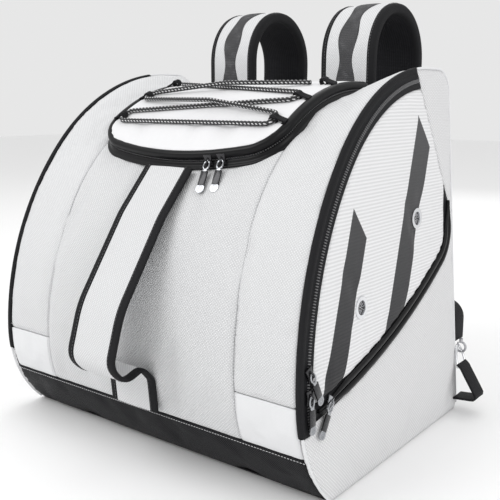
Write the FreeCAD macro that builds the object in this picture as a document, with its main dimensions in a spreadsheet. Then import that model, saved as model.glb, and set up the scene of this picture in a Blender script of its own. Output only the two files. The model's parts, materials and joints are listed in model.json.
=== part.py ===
import FreeCAD, Part
import math
import os

from FreeCAD import Placement, Rotation, Vector

# Ski boot bag, in millimetres. X is to the right seen from the front, Y goes
# back, Z goes up. The front of the bag faces -Y. The origin lies on the floor,
# midway between the sides and under the helmet compartment.

# ---------------------------------------------------------------- dimensions

DIMENSIONS = [
    ("wall", 4, "fabric, foam and lining of every panel"),
    ("base_half_width", 212, "half the width at the floor"),
    ("side_taper", 0.05, "the side panels lean in by this much per height"),
    ("base_back", 165, "the back panel at the floor"),
    ("back_lean", 0.06, "the back panel leans forward by this per height"),
    ("toe_centre", -30, "Y of the centre of the arc that turns under the front"),
    ("toe_radius", 136, "radius of that arc"),
    ("belly_height", 102, "height where the front stands furthest forward"),
    ("front_radius", 330, "radius of the long front arc"),
    ("side_top", 398, "height of the side panels"),
    ("side_crown_start", 317, "height where the side's crown arc begins"),
    ("middle_top", 370, "height of the top between the dividers"),
    ("middle_crown_start", 240, "height where the middle's crown arc begins"),
    ("rear_corner", 28, "radius of the top rear edge"),
    ("middle_half_width", 127, "half the width of the level middle"),
    ("seam_half_width", 138, "centre panel seams at the floor"),
    ("seam_taper", 0.046, "the seams lean in by this much per height"),
    ("band_height", 53, "top edge of the coated front band"),
    ("patch_height", 103, "top edge of the two lower patches"),
    ("back_seam", 335, "top edge of the back panel"),
    ("divider_foot", 88, "X of the dividers at the floor"),
    ("divider_lean", 0.08, "the dividers lean out by this much per height"),
    ("divider_wall", 3, "thickness of the dividers"),
    ("lid_half_width", 124, "half the width of the lid"),
    ("lid_front_height", 298, "height of the middle of the lid's front edge"),
    ("lid_rear", 86, "Y of the lid's rear edge"),
    ("lid_front_bow", 420, "radius of the lid's bowed front edge"),
    ("lid_corner", 42, "radius of the lid's front corners"),
    ("lid_rise", 14, "outer face of the lid above the bag"),
    ("lid_zip_line", 6, "height of the lid's zip above the bag"),
    ("lid_flange", 10, "the bag's rim inside the lid's zip"),
    ("tape", 12, "width of the arc zip's tape on the bag"),
    ("door_tape", 8, "width of the zip tapes on the doors"),
    ("zip_gap", 0.3, "between the two halves of a zip"),
    ("arc_zip_foot", 76, "height of the lower end of the arc zip"),
    ("hinge_gap", 0.5, "between a door and its fold"),
    ("eyelet_radius", 11, "flange of a vent eyelet"),
    ("eyelet_bore", 7, "bore of a vent eyelet"),
    ("slider_long", 13, "length of a zip slider"),
    ("slider_wide", 10, "width of a zip slider"),
    ("slider_thick", 2.3, "top plate of a zip slider"),
    ("slider_lift", 0.4, "gap between a slider and its tape"),
    ("bail_high", 3.6, "height of a slider's bail"),
    ("pull_long", 35, "length of a pull tab"),
    ("pull_wide", 9.5, "width of a pull tab"),
    ("pull_thick", 1.6, "thickness of a pull tab"),
    ("handle_wide", 66, "width of the front carry handle"),
    ("handle_thick", 4, "thickness of the front carry handle"),
    ("strap_wide", 70, "width of a shoulder strap"),
    ("strap_thick", 12, "thickness of a shoulder strap"),
    ("strap_middle", 85, "X of the middle of a shoulder strap"),
    ("webbing_wide", 25, "width of the webbing"),
    ("webbing_thick", 2.5, "thickness of the webbing"),
    ("cord_radius", 2.5, "half the thickness of the bungee cord"),
    ("ring_wire", 1.5, "half the thickness of the D-ring's wire"),
    ("ring_radius", 11, "radius of the D-ring's bow"),
    ("hook_radius", 6, "radius of the snap hook's bow"),
    ("hook_wire", 1.4, "half the thickness of the snap hook"),
]

doc = FreeCAD.newDocument("SkiBootBag")
sheet = doc.addObject("Spreadsheet::Sheet", "dimensions")
for row, (alias, value, meaning) in enumerate(DIMENSIONS, start=1):
    sheet.set(f"A{row}", alias)
    sheet.set(f"B{row}", str(value))
    sheet.set(f"C{row}", meaning)
    sheet.setAlias(f"B{row}", alias)
doc.recompute()


def size(alias):
    """Read one driving dimension from the sheet."""
    return float(getattr(sheet, alias))


X_AXIS = Vector(1, 0, 0)
Y_AXIS = Vector(0, 1, 0)
Z_AXIS = Vector(0, 0, 1)
FAR = 500.0
NODES = {}

# ------------------------------------------------------- document and shapes


def keep(node, obj):
    """Name one finished sub-part."""
    obj.Label = node
    NODES[node] = obj
    return obj


def feature(node, shape):
    """A sub-part whose shape no primitive or sketch feature gives."""
    obj = doc.addObject("Part::Feature", node)
    obj.Shape = shape.removeSplitter()
    obj.Placement = Placement()
    return keep(node, obj)


def mirror(node, source):
    """The left twin of a right-hand sub-part."""
    obj = doc.addObject("Part::Mirroring", node)
    obj.Source = source
    obj.Normal = X_AXIS
    return keep(node, obj)


def pair(name, shape):
    """A right-hand sub-part and its left twin."""
    right = feature(name + "_right", shape)
    mirror(name + "_left", right)


def twin(shape):
    return shape.mirror(Vector(), X_AXIS)


def group(node, shapes):
    """Several loose solids of one kind that share a node."""
    obj = doc.addObject("Part::Feature", node)
    obj.Shape = Part.makeCompound(shapes)
    return keep(node, obj)


def primitive(kind, name, place=None, **sizes):
    """A Part primitive whose sizes are bound to the sheet."""
    obj = doc.addObject("Part::" + kind, name)
    for prop, expression in sizes.items():
        obj.setExpression(prop, expression)
    if place is not None:
        obj.Placement = place
    return obj


def fuse(name, pieces):
    obj = doc.addObject("Part::MultiFuse", name)
    obj.Shapes = pieces
    return obj


def cut(name, base, tool):
    obj = doc.addObject("Part::Cut", name)
    obj.Base = base
    obj.Tool = tool
    return obj


def block(x_low, x_high, y_low, y_high, z_low, z_high):
    """A box from its limits."""
    corner = Vector(x_low, y_low, z_low)
    return Part.makeBox(x_high - x_low, y_high - y_low, z_high - z_low, corner)


def closed_face(edges):
    return Part.Face(Part.Wire(Part.__sortEdges__(edges)))


def line(start, end):
    return Part.LineSegment(start, end).toShape()


def arc(start, middle, end):
    return Part.Arc(start, middle, end).toShape()


def side_of(y, z):
    """A point of the drawing plane of the bag's side outline."""
    return Vector(0, y, z)


def polar(centre, radius, angle):
    """Point at an angle that is measured from straight forward, upwards."""
    y = centre[0] - radius * math.cos(angle)
    z = centre[1] + radius * math.sin(angle)
    return side_of(y, z)


# ----------------------------------------------------- outline from the side


def crown(top, start):
    """Angle, radius and centre of the arc from the front arc to the level top."""
    belly = (size("toe_centre") + front_shift(), size("belly_height"))
    angle = math.asin((start - belly[1]) / size("front_radius"))
    radius = (top - start) / (1 - math.sin(angle))
    tangent = polar(belly, size("front_radius"), angle)
    centre = (tangent.y + radius * math.cos(angle), tangent.z - radius * math.sin(angle))
    return angle, radius, centre


def front_shift():
    """How far the front arc's centre lies behind the toe arc's centre."""
    return size("front_radius") - size("toe_radius")


def back_face(z, offset=0.0):
    """Y of the back panel's outer face at a height."""
    lean = size("back_lean")
    return size("base_back") + offset * math.hypot(1, lean) - lean * z


def outline_edges(offset, top, start):
    """The closed side outline, moved outwards by offset."""
    toe = (size("toe_centre"), size("belly_height"))
    belly = (toe[0] + front_shift(), toe[1])
    toe_radius = size("toe_radius") + offset
    front_radius = size("front_radius") + offset
    angle, crown_radius, crown_centre = crown(top, start)
    crown_radius += offset

    floor = -offset
    toe_angle = math.asin((floor - toe[1]) / toe_radius)
    rear_normal = math.atan(size("back_lean"))
    corner = size("rear_corner")
    corner_z = top - corner
    corner_y = back_face(corner_z, -corner)
    corner_centre = (corner_y, corner_z)
    corner_turn = math.pi - rear_normal

    points = [
        polar(toe, toe_radius, toe_angle),
        polar(toe, toe_radius, 0),
        polar(belly, front_radius, angle),
        polar(crown_centre, crown_radius, math.pi / 2),
        polar(corner_centre, corner + offset, math.pi / 2),
        polar(corner_centre, corner + offset, corner_turn),
        side_of(back_face(floor, offset), floor),
    ]
    middles = [
        polar(toe, toe_radius, toe_angle / 2),
        polar(belly, front_radius, angle / 2),
        polar(crown_centre, crown_radius, (angle + math.pi / 2) / 2),
        None,
        polar(corner_centre, corner + offset, (math.pi / 2 + corner_turn) / 2),
        None,
        None,
    ]
    edges = []
    for index, middle in enumerate(middles):
        start_point = points[index]
        end_point = points[(index + 1) % len(points)]
        if middle is None:
            edges.append(line(start_point, end_point))
        else:
            edges.append(arc(start_point, middle, end_point))
    return edges


def side_outline(offset):
    return outline_edges(offset, size("side_top"), size("side_crown_start"))


def middle_outline(offset):
    return outline_edges(offset, size("middle_top"), size("middle_crown_start"))


# The side panels lie in a plane that leans inwards. Everything on them is
# drawn upright in the plane X = 0 and then carried out to the right side.
SIDE_PLACE = Placement(
    Vector(size("base_half_width"), 0, 0),
    Rotation(Y_AXIS, -math.degrees(math.atan(size("side_taper")))),
)


def on_side(shape):
    moved = shape.copy()
    moved.Placement = SIDE_PLACE.multiply(moved.Placement)
    return moved


# ------------------------------------------------------------ the bag's tube


def envelope(offset, depth):
    """The bag's volume: a level middle and a flank that rises to each side."""
    half = size("middle_half_width")
    middle = closed_face(middle_outline(offset))
    middle.translate(Vector(-half, 0, 0))
    core = middle.extrude(Vector(2 * half, 0, 0))
    inner = Part.Wire(middle_outline(offset))
    inner.translate(Vector(half, 0, 0))
    outer = on_side(Part.Wire(side_outline(offset)))
    outer.translate(Vector(-depth, 0, 0))
    flank = Part.makeLoft([inner, outer], True, True)
    return core.fuse([flank, twin(flank)])


WALL = size("wall")
hollow = envelope(-WALL, 0)
tube = envelope(0, WALL).cut(hollow)

BAND = size("band_height")
PATCH = size("patch_height")
BACK_SEAM = size("back_seam")
LID_REAR = size("lid_rear")


def leaning_block(x_low, x_high, lean_low, lean_high):
    """The room between two planes that lean in X as they rise."""
    corners = [
        Vector(x_low, -FAR, 0),
        Vector(x_high, -FAR, 0),
        Vector(x_high + lean_high * FAR, -FAR, FAR),
        Vector(x_low + lean_low * FAR, -FAR, FAR),
    ]
    return Part.Face(Part.makePolygon(corners + corners[:1])).extrude(Vector(0, 2 * FAR, 0))


SEAM_FOOT = size("seam_half_width")
SEAM_TAPER = size("seam_taper")
FRONT_LIMIT = 50.0
BACK_LIMIT = 100.0
seam_wedge = leaning_block(-SEAM_FOOT, SEAM_FOOT, SEAM_TAPER, -SEAM_TAPER)
feature("base_panel", tube.common(block(-FAR, FAR, -FAR, FAR, -WALL, WALL)))
feature("base_band", tube.common(block(-FAR, FAR, -FAR, FRONT_LIMIT, WALL, BAND)))
feature("back_panel", tube.common(block(-FAR, FAR, BACK_LIMIT, FAR, WALL, BACK_SEAM)))

flanks = tube.cut(seam_wedge).common(block(0, FAR, -FAR, FAR, WALL, FAR))
lower_patch = flanks.common(block(0, FAR, -FAR, FRONT_LIMIT, BAND, PATCH))
group("lower_patches", [lower_patch, twin(lower_patch)])
front_zone = block(0, FAR, -FAR, BACK_LIMIT, PATCH, FAR)
rear_zone = block(0, FAR, BACK_LIMIT, FAR, BACK_SEAM, FAR)
pair("front_strip", flanks.common(front_zone.fuse(rear_zone)))

# ---------------------------------------------------------------- the lid

middle_angle, middle_radius, middle_centre = crown(size("middle_top"), size("middle_crown_start"))
lid_front_z = size("lid_front_height")
lid_front_drop = lid_front_z - middle_centre[1]
lid_front_y = middle_centre[0] - math.sqrt(middle_radius**2 - lid_front_drop**2)
lid_climb = size("middle_top") - lid_front_z
lid_run = LID_REAR - lid_front_y
lid_tilt = math.atan2(lid_climb, lid_run)
lid_length = math.hypot(lid_climb, lid_run)
LID_PLACE = Placement(Vector(0, lid_front_y, lid_front_z), Rotation(X_AXIS, math.degrees(lid_tilt)))
LID_RISE = size("lid_rise")
LID_ZIP = size("lid_zip_line")
ZIP_GAP = size("zip_gap")
LID_WALL = 3.0
LID_SKIN = 3.5
LID_REACH = 100.0


def lid_prism(inset):
    """The lid's outline seen square on, run through the bag's top."""
    half = size("lid_half_width") - inset
    bow = size("lid_front_bow")
    corner = size("lid_corner") - inset
    corner_x = half - corner
    corner_y = bow - math.sqrt((bow - inset - corner) ** 2 - corner_x**2)
    turn = math.atan2(corner_x, bow - corner_y)
    front = Vector(0, inset, 0)
    bow_end = Vector((bow - inset) * math.sin(turn), bow - (bow - inset) * math.cos(turn), 0)
    half_turn = (turn - math.pi / 2) / 2
    corner_reach = Vector(math.cos(half_turn), math.sin(half_turn), 0) * corner
    corner_middle = Vector(corner_x, corner_y, 0) + corner_reach
    corner_end = Vector(half, corner_y, 0)
    rear = Vector(half, lid_length - inset, 0)

    def flipped(point):
        return Vector(-point.x, point.y, 0)

    edges = [
        arc(flipped(bow_end), front, bow_end),
        arc(bow_end, corner_middle, corner_end),
        line(corner_end, rear),
        line(rear, flipped(rear)),
        line(flipped(rear), flipped(corner_end)),
        arc(flipped(corner_end), flipped(corner_middle), flipped(bow_end)),
    ]
    face = closed_face(edges)
    face.translate(Vector(0, 0, -LID_REACH))
    prism = face.extrude(Vector(0, 0, 2 * LID_REACH))
    prism.Placement = LID_PLACE.multiply(prism.Placement)
    return prism


def lid_layer(low, high):
    """Everything between two heights above the bag's level middle."""
    layers = []
    for offset in (low, high):
        face = closed_face(middle_outline(offset))
        face.translate(Vector(-FAR / 2, 0, 0))
        layers.append(face.extrude(Vector(FAR, 0, 0)))
    return layers[1].cut(layers[0])


lid_rim = lid_prism(0).cut(lid_prism(LID_WALL))
lid_hole = lid_prism(size("lid_flange"))
top_zone = block(-FAR, FAR, -FAR, LID_REAR, BAND, FAR)
yoke_zone = block(-FAR, FAR, LID_REAR, FAR, BACK_SEAM, FAR)
centre = tube.common(seam_wedge)
feature("centre_panel", centre.common(top_zone).cut(lid_hole))
feature("rear_yoke", centre.common(yoke_zone))
feature("lid_zip_lower", lid_rim.common(lid_layer(0, LID_ZIP)))
feature("lid_zip_upper", lid_rim.common(lid_layer(LID_ZIP + ZIP_GAP, LID_RISE)))
feature("lid_panel", lid_prism(LID_WALL).common(lid_layer(LID_RISE - LID_SKIN, LID_RISE)))


def lid_point(x, along, height):
    """Place and outward normal over the lid: along runs back from its front edge."""
    radius = middle_radius + height
    foot_y = lid_front_y + along * math.cos(lid_tilt)
    foot_z = lid_front_z + along * math.sin(lid_tilt)
    slope_y, slope_z = -math.sin(lid_tilt), math.cos(lid_tilt)
    off_y = foot_y - middle_centre[0]
    off_z = foot_z - middle_centre[1]
    half_b = off_y * slope_y + off_z * slope_z
    reach = -half_b + math.sqrt(half_b**2 - off_y**2 - off_z**2 + radius**2)
    y = foot_y + reach * slope_y
    z = foot_z + reach * slope_z
    if y > middle_centre[0]:
        z = size("middle_top") + height
        y = foot_y - (z - foot_z) * math.tan(lid_tilt)
        return Vector(x, y, z), Vector(0, 0, 1)
    normal = Vector(0, y - middle_centre[0], z - middle_centre[1])
    return Vector(x, y, z), normal.normalize()


# ------------------------------------------------- sides, doors and side zips

TAPE = size("tape")
DOOR_TAPE = size("door_tape")
HALF_GAP = ZIP_GAP / 2
HINGE_GAP = size("hinge_gap")

# The diagonal zip: one long arc through three places, then a tight arc that
# turns it straight up beside the rear edge.
DIAGONAL = [side_of(-150, 93), side_of(-20, 124), side_of(79, 167)]
diagonal_circle = arc(*DIAGONAL).Curve
diagonal_centre = (diagonal_circle.Center.y, diagonal_circle.Center.z)
diagonal_radius = diagonal_circle.Radius
BEND_RADIUS = 40.0
RISE_Y = 137.0
bend_y = RISE_Y - BEND_RADIUS
bend_drop = math.sqrt((diagonal_radius - BEND_RADIUS) ** 2 - (bend_y - diagonal_centre[0]) ** 2)
bend_centre = (bend_y, diagonal_centre[1] - bend_drop)


def diagonal_height(y, radius):
    """Height of an arc round the diagonal zip's centre."""
    return diagonal_centre[1] - math.sqrt(radius**2 - (y - diagonal_centre[0]) ** 2)


# A door folds along the line between the ends of its two zips.
FOLD_FOOT = side_of(137, 258)
FOLD_HEAD = side_of(62, 396.5)
FOLD_DOWN = 300.0
FOLD_UP = 60.0
AHEAD_OF_SIDE = -180.0


def slab(face):
    """Side panel material: one wall deep, its outer face in the side plane."""
    return face.extrude(Vector(-WALL, 0, 0))


def side_slab(offset):
    return slab(closed_face(side_outline(offset)))


def above_diagonal(inset):
    """The side above and ahead of the diagonal zip."""
    radius = diagonal_radius - inset
    bend = BEND_RADIUS - inset
    middle_y = DIAGONAL[1].y
    front = side_of(AHEAD_OF_SIDE, diagonal_height(AHEAD_OF_SIDE, radius))
    middle = side_of(middle_y, diagonal_height(middle_y, radius))
    to_bend = (side_of(*bend_centre) - side_of(*diagonal_centre)).normalize()
    tangent = side_of(*diagonal_centre) + to_bend * radius
    bend_middle = side_of(*bend_centre) + (to_bend + Y_AXIS).normalize() * bend
    rise_foot = side_of(bend_centre[0] + bend, bend_centre[1])
    rise_head = side_of(bend_centre[0] + bend, FAR)
    edges = [
        arc(front, middle, tangent),
        arc(tangent, bend_middle, rise_foot),
        line(rise_foot, rise_head),
        line(rise_head, side_of(AHEAD_OF_SIDE, FAR)),
        line(side_of(AHEAD_OF_SIDE, FAR), front),
    ]
    return slab(closed_face(edges))


def ahead_of_fold(gap):
    """The side ahead of a door's fold line."""
    along = (FOLD_HEAD - FOLD_FOOT).normalize()
    ahead = Vector(0, -along.z, along.y) * gap
    foot = FOLD_FOOT + ahead - along * FOLD_DOWN
    head = FOLD_HEAD + ahead + along * FOLD_UP
    corners = [foot, head, side_of(-FAR, head.z), side_of(-FAR, foot.z), foot]
    return slab(Part.Face(Part.makePolygon(corners)))


arc_band = side_slab(0).cut(side_slab(-TAPE))
arc_zone = block(-FAR, FAR, -FAR, BACK_LIMIT, size("arc_zip_foot"), FAR)
arc_frame = arc_band.common(arc_zone).common(ahead_of_fold(0))
door_hole = above_diagonal(-DOOR_TAPE).common(ahead_of_fold(0)).common(side_slab(-TAPE))
diagonal_frame = door_hole.cut(above_diagonal(-HALF_GAP))
door_blank = above_diagonal(HALF_GAP).common(ahead_of_fold(HINGE_GAP)).common(side_slab(-TAPE - ZIP_GAP))
door_field = above_diagonal(DOOR_TAPE).common(side_slab(-TAPE - DOOR_TAPE))

EYELET_BORE = size("eyelet_bore")
BARREL = 1.2
FLANGE = 1.2
DISC_THICK = 1.0
DISC_DEPTH = 2.0
DISC_HOLES = 6
DISC_HOLE = 1.1
DISC_HOLE_RING = 4.0
DRILL = 40.0
VENTS = [side_of(59, 243), side_of(-60, 172)]


def drill(spot, radius):
    """A cutter square to the side panel."""
    return Part.makeCylinder(radius, DRILL, spot - X_AXIS * (DRILL / 2), X_AXIS)


def drilled(shape, radius):
    """A shape with a hole at each vent."""
    for vent in VENTS:
        shape = shape.cut(drill(vent, radius))
    return shape


above_floor = block(-FAR, FAR, -FAR, FAR, 0, FAR)
pair("side_panel", on_side(side_slab(0).cut(arc_frame).cut(door_hole)).common(above_floor))
pair("arc_zip_frame", on_side(arc_frame))
pair("diagonal_zip_frame", on_side(diagonal_frame))
pair("boot_door", on_side(drilled(door_blank.common(door_field), EYELET_BORE + BARREL)))
pair("door_zip", on_side(door_blank.cut(door_field)))


def eyelets():
    rings = []
    for vent in VENTS:
        flange = Part.makeCylinder(size("eyelet_radius"), FLANGE, vent, X_AXIS)
        barrel = Part.makeCylinder(EYELET_BORE + BARREL, WALL, vent - X_AXIS * WALL, X_AXIS)
        rings.append(flange.fuse(barrel).cut(drill(vent, EYELET_BORE)))
    return rings


def vent_discs():
    discs = []
    for vent in VENTS:
        disc = Part.makeCylinder(EYELET_BORE, DISC_THICK, vent - X_AXIS * DISC_DEPTH, X_AXIS)
        for step in range(DISC_HOLES):
            turn = math.tau * step / DISC_HOLES
            hole = vent + Vector(0, math.cos(turn), math.sin(turn)) * DISC_HOLE_RING
            disc = disc.cut(drill(hole, DISC_HOLE))
        discs.append(disc)
    return discs


for name, pieces in (("vent_eyelets", eyelets()), ("vent_discs", vent_discs())):
    right = group(name + "_right", [on_side(piece) for piece in pieces])
    mirror(name + "_left", right)

# ---------------------------------------------------------- inner dividers


DIVIDER_FOOT = size("divider_foot")
DIVIDER_LEAN = size("divider_lean")
divider_outside = DIVIDER_FOOT + size("divider_wall")
one_divider = leaning_block(DIVIDER_FOOT, divider_outside, DIVIDER_LEAN, DIVIDER_LEAN).common(hollow)
group("boot_dividers", [one_divider, twin(one_divider)])

# --------------------------------------------------------- ribbons of fabric


def bend_edges(points, radii):
    """Straight runs joined by tangent arcs, one radius for each inner point."""
    edges = []
    last = points[0]
    for index in range(1, len(points) - 1):
        here = points[index]
        back = (points[index - 1] - here).normalize()
        ahead = (points[index + 1] - here).normalize()
        half = back.getAngle(ahead) / 2
        radius = radii[index - 1]
        reach = radius / math.tan(half)
        begin = here + back * reach
        end = here + ahead * reach
        inward = (back + ahead).normalize()
        middle = here + inward * (radius / math.sin(half) - radius)
        if (begin - last).Length > 0.001:
            edges.append(line(last, begin))
        edges.append(arc(begin, middle, end))
        last = end
    edges.append(line(last, points[-1]))
    return edges


def beside(points, normal, gap):
    """The polyline moved sideways by gap, with mitred corners."""
    moved = []
    for index, here in enumerate(points):
        before = points[max(index - 1, 0)]
        after = points[min(index + 1, len(points) - 1)]
        way_in = here - before if index else after - here
        way_out = after - here if index < len(points) - 1 else way_in
        side_in = normal.cross(way_in).normalize()
        side_out = normal.cross(way_out).normalize()
        mitre = (side_in + side_out).normalize()
        moved.append(here + mitre * (gap / mitre.dot(side_in)))
    return moved


def ribbon(points, radii, thick, normal, wide):
    """A band of fabric: its edge is drawn square to normal, then given its width."""
    half = thick / 2
    rails = []
    for gap in (half, -half):
        tuned = []
        for index, radius in enumerate(radii, start=1):
            way_in = points[index] - points[index - 1]
            way_out = points[index + 1] - points[index]
            left_turn = normal.dot(way_in.cross(way_out)) > 0
            tuned.append(radius - gap if left_turn else radius + gap)
        rails.append((beside(points, normal, gap), tuned))
    edges = []
    for rail, tuned in rails:
        edges += bend_edges(rail, tuned)
    edges.append(line(rails[0][0][0], rails[1][0][0]))
    edges.append(line(rails[0][0][-1], rails[1][0][-1]))
    face = closed_face(edges)
    face.translate(normal * (-wide / 2))
    return face.extrude(normal * wide)


# The carry handle leaves the bag under the lid, stands well off the front and
# curls back to the coated band in an S.
HANDLE_ROUTE = [
    (-106, 297), (-147, 252), (-205, 168), (-221, 118), (-203, 99), (-180, 107), (-166.5, 92), (-163, 56),
]
HANDLE_BENDS = [80, 90, 18, 14, 9, 9]
handle_points = [side_of(y, z) for y, z in HANDLE_ROUTE]
handle = ribbon(handle_points, HANDLE_BENDS, size("handle_thick"), X_AXIS, size("handle_wide"))
feature("carry_handle", handle.cut(envelope(0, 0)))

# A shoulder strap rises from the yoke, turns over and comes down behind the
# back panel.
STRAP_FOOT_Y = 106.0
STRAP_REAR_Y = 222.0
STRAP_PEAK = 470.0
STRAP_GAP = 0.6
STRAP_ROUTE = [
    (STRAP_FOOT_Y, size("middle_top") + STRAP_GAP),
    (STRAP_FOOT_Y, STRAP_PEAK),
    (STRAP_REAR_Y, STRAP_PEAK),
    (STRAP_REAR_Y, 392),
    (180, 205),
]
STRAP_BENDS = [57, 57, 90]
strap_points = [side_of(y, z) for y, z in STRAP_ROUTE]
strap = ribbon(strap_points, STRAP_BENDS, size("strap_thick"), X_AXIS, size("strap_wide"))
strap.translate(X_AXIS * size("strap_middle"))
pair("shoulder_strap", strap)

# Ladder lock under the strap's end: a frame with three bars.
LOCK_WIDE = 34.0
LOCK_HIGH = 26.0
LOCK_THICK = 4.0
LOCK_BAR = 4.0
LOCK_SLOT = 6.0
LOCK_Y = 177.0
LOCK_TOP = 202.0


def ladder_lock():
    left = size("strap_middle") - LOCK_WIDE / 2
    near = LOCK_Y - LOCK_THICK / 2
    bottom = LOCK_TOP - LOCK_HIGH
    frame = block(left, left + LOCK_WIDE, near, near + LOCK_THICK, bottom, LOCK_TOP)
    for slot_top in (LOCK_TOP - LOCK_BAR, LOCK_TOP - 2 * LOCK_BAR - LOCK_SLOT):
        slot_foot = slot_top - LOCK_SLOT
        slot = block(left + LOCK_BAR, left + LOCK_WIDE - LOCK_BAR, 0, FAR, slot_foot, slot_top)
        frame = frame.cut(slot)
    return frame


pair("ladder_lock", ladder_lock())

HOOK_X = 211.0
HOOK_Y = 172.0
HOOK_Z = 74.0
WEB_ROUTE = [(87, 158), (HOOK_X - 4, 122), (HOOK_X - 4, 86)]
WEB_BEND = 20.0
web_points = [Vector(x, 0, z) for x, z in WEB_ROUTE]
adjuster_web = ribbon(web_points, [WEB_BEND], size("webbing_wide"), Y_AXIS, size("webbing_thick"))
adjuster_web.translate(Y_AXIS * HOOK_Y)
pair("adjusting_webbing", adjuster_web)

# ------------------------------------------------ corner tabs and D-rings

TAB_Y = 160.0
RING_X = 218.0
RING_Z = 56.0
TAB_ROUTE = [(RING_X + 2, RING_Z - 4), (244, 20), (214.6, 17)]
TAB_BEND = 4.0
tab_points = [Vector(x, TAB_Y, z) for x, z in TAB_ROUTE]
one_tab = ribbon(tab_points, [TAB_BEND], size("webbing_thick"), Y_AXIS, size("webbing_wide"))
group("corner_tabs", [one_tab, twin(one_tab)])


def swept(edges, radius):
    """A round wire or cord along a path of lines and arcs."""
    path = Part.Wire(edges)
    start = edges[0].valueAt(edges[0].FirstParameter)
    way = edges[0].tangentAt(edges[0].FirstParameter)
    profile = Part.Wire(Part.Circle(start, way, radius).toShape())
    return path.makePipeShell([profile], True, True)


def placed(origin, across, along):
    """A frame whose X runs across and whose Y runs along."""
    outward = across.cross(along)
    return Placement(origin, Rotation(across, along, outward, "ZXY"))


UPRIGHT = Rotation(X_AXIS, 90)
RING_WIRE = "dimensions.ring_wire"
RING_RADIUS = "dimensions.ring_radius"
ring_bow = primitive("Torus", "ring_bow", Radius1=RING_RADIUS, Radius2=RING_WIRE)
ring_bow.Placement = Placement(Vector(), UPRIGHT)
ring_bow.Angle3 = 180
bar_place = Placement(Vector(-size("ring_radius"), 0, 0), Rotation(Y_AXIS, 90))
ring_bar = primitive("Cylinder", "ring_bar", bar_place, Radius=RING_WIRE, Height=RING_RADIUS + " * 2")
ring_corners = []
for sign in (-1, 1):
    place = Placement(Vector(sign * size("ring_radius"), 0, 0), Rotation())
    ring_corners.append(primitive("Sphere", "ring_corner", place, Radius=RING_WIRE))
ring = fuse("d_ring_right", [ring_bow, ring_bar] + ring_corners)
ring.Placement = Placement(Vector(RING_X, TAB_Y, RING_Z), Rotation(Z_AXIS, 90))
keep("d_ring_right", ring)
mirror("d_ring_left", ring)

# ------------------------------------------------------------- snap hooks

HOOK_CENTRE = Vector(HOOK_X, HOOK_Y, HOOK_Z)
HOOK_TIP = 230
GATE_PIVOT = 325
GATE_TIP = 248
GATE_RADIUS = 1.0
STEM_RADIUS = 2.2
STEM_LONG = 5.5
STEM_SINK = 0.9


def hook_place(degrees):
    """A point of the hook's round, measured from its top towards +X."""
    turn = math.radians(degrees)
    radius = size("hook_radius")
    return HOOK_CENTRE + Vector(radius * math.sin(turn), 0, radius * math.cos(turn))


hook_bow = swept([arc(hook_place(0), hook_place(HOOK_TIP / 2), hook_place(HOOK_TIP))], size("hook_wire"))
hook_stem = Part.makeCylinder(STEM_RADIUS, STEM_LONG, hook_place(0) - Z_AXIS * STEM_SINK, Z_AXIS)
pair("snap_hook", hook_bow.fuse(hook_stem))
gate_way = hook_place(GATE_TIP) - hook_place(GATE_PIVOT)
pair("snap_gate", Part.makeCylinder(GATE_RADIUS, gate_way.Length, hook_place(GATE_PIVOT), gate_way))

# ---------------------------------------------------------- sternum buckles

STRAP_LEG = (strap_points[4] - strap_points[3]).normalize()
STRAP_INWARD = Vector(0, STRAP_LEG.z, -STRAP_LEG.y)
BUCKLE_THICK = 8.0
BUCKLE_GAP = 0.5


def buckle_spot(x, height):
    """Frame on the face of a strap's rear leg that is turned to the bag."""
    share = (strap_points[3].z - height) / -STRAP_LEG.z
    face = strap_points[3] + STRAP_LEG * share + STRAP_INWARD * (size("strap_thick") / 2 + BUCKLE_GAP)
    return placed(face + X_AXIS * x, X_AXIS, STRAP_LEG * -1)


def buckle_box(name, wide, high, thick, x=0.0, y=0.0, z=0.0):
    obj = doc.addObject("Part::Box", name)
    obj.Length, obj.Width, obj.Height = wide, high, thick
    obj.Placement = Placement(Vector(x - wide / 2, y - high / 2, z), Rotation())
    return obj


SOCKET_HEIGHT = 372.0
PLUG_HEIGHT = 330.0
SOCKET_WIDE = 24.0
SOCKET_LONG = 28.0
SOCKET_SHELL = 2.0
MOUTH_WIDE = 18.0
MOUTH_LONG = 20.0
MOUTH_SHIFT = 3.5
PLUG_WIDE = 12.0
PLUG_LONG = 24.0
PRONG_LONG = 16.0
PRONG_THICK = 3.0
PRONG_STEP = 7.0
mouth_deep = BUCKLE_THICK - 2 * SOCKET_SHELL
socket_shell = buckle_box("socket_shell", SOCKET_WIDE, SOCKET_LONG, BUCKLE_THICK)
socket_mouth = buckle_box("socket_mouth", MOUTH_WIDE, MOUTH_LONG, mouth_deep, x=MOUTH_SHIFT, z=SOCKET_SHELL)
socket = keep("sternum_socket", cut("sternum_socket", socket_shell, socket_mouth))
socket.Placement = buckle_spot(-size("strap_middle"), SOCKET_HEIGHT)
plug_pieces = [buckle_box("plug_shell", PLUG_WIDE, PLUG_LONG, BUCKLE_THICK - 1)]
for step in (-1, 0, 1):
    spot = {"x": -PLUG_WIDE, "y": step * PRONG_STEP, "z": SOCKET_SHELL}
    plug_pieces.append(buckle_box("plug_prong", PRONG_LONG, PRONG_THICK, PRONG_THICK, **spot))
plug = keep("sternum_plug", fuse("sternum_plug", plug_pieces))
plug.Placement = buckle_spot(size("strap_middle"), PLUG_HEIGHT)

# --------------------------------------------------- zip sliders and pulls

BAIL_LONG = 8.0
BAIL_THICK = 2.2
BAIL_ROOM = 5.0
BAIL_CLEAR = 2.6
PULL_EYE = 4.6
PULL_EYE_LONG = 7.0
PULL_HOLE = 2.4
BAR_HEIGHT = size("slider_lift") + size("slider_thick") + BAIL_CLEAR / 2


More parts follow.
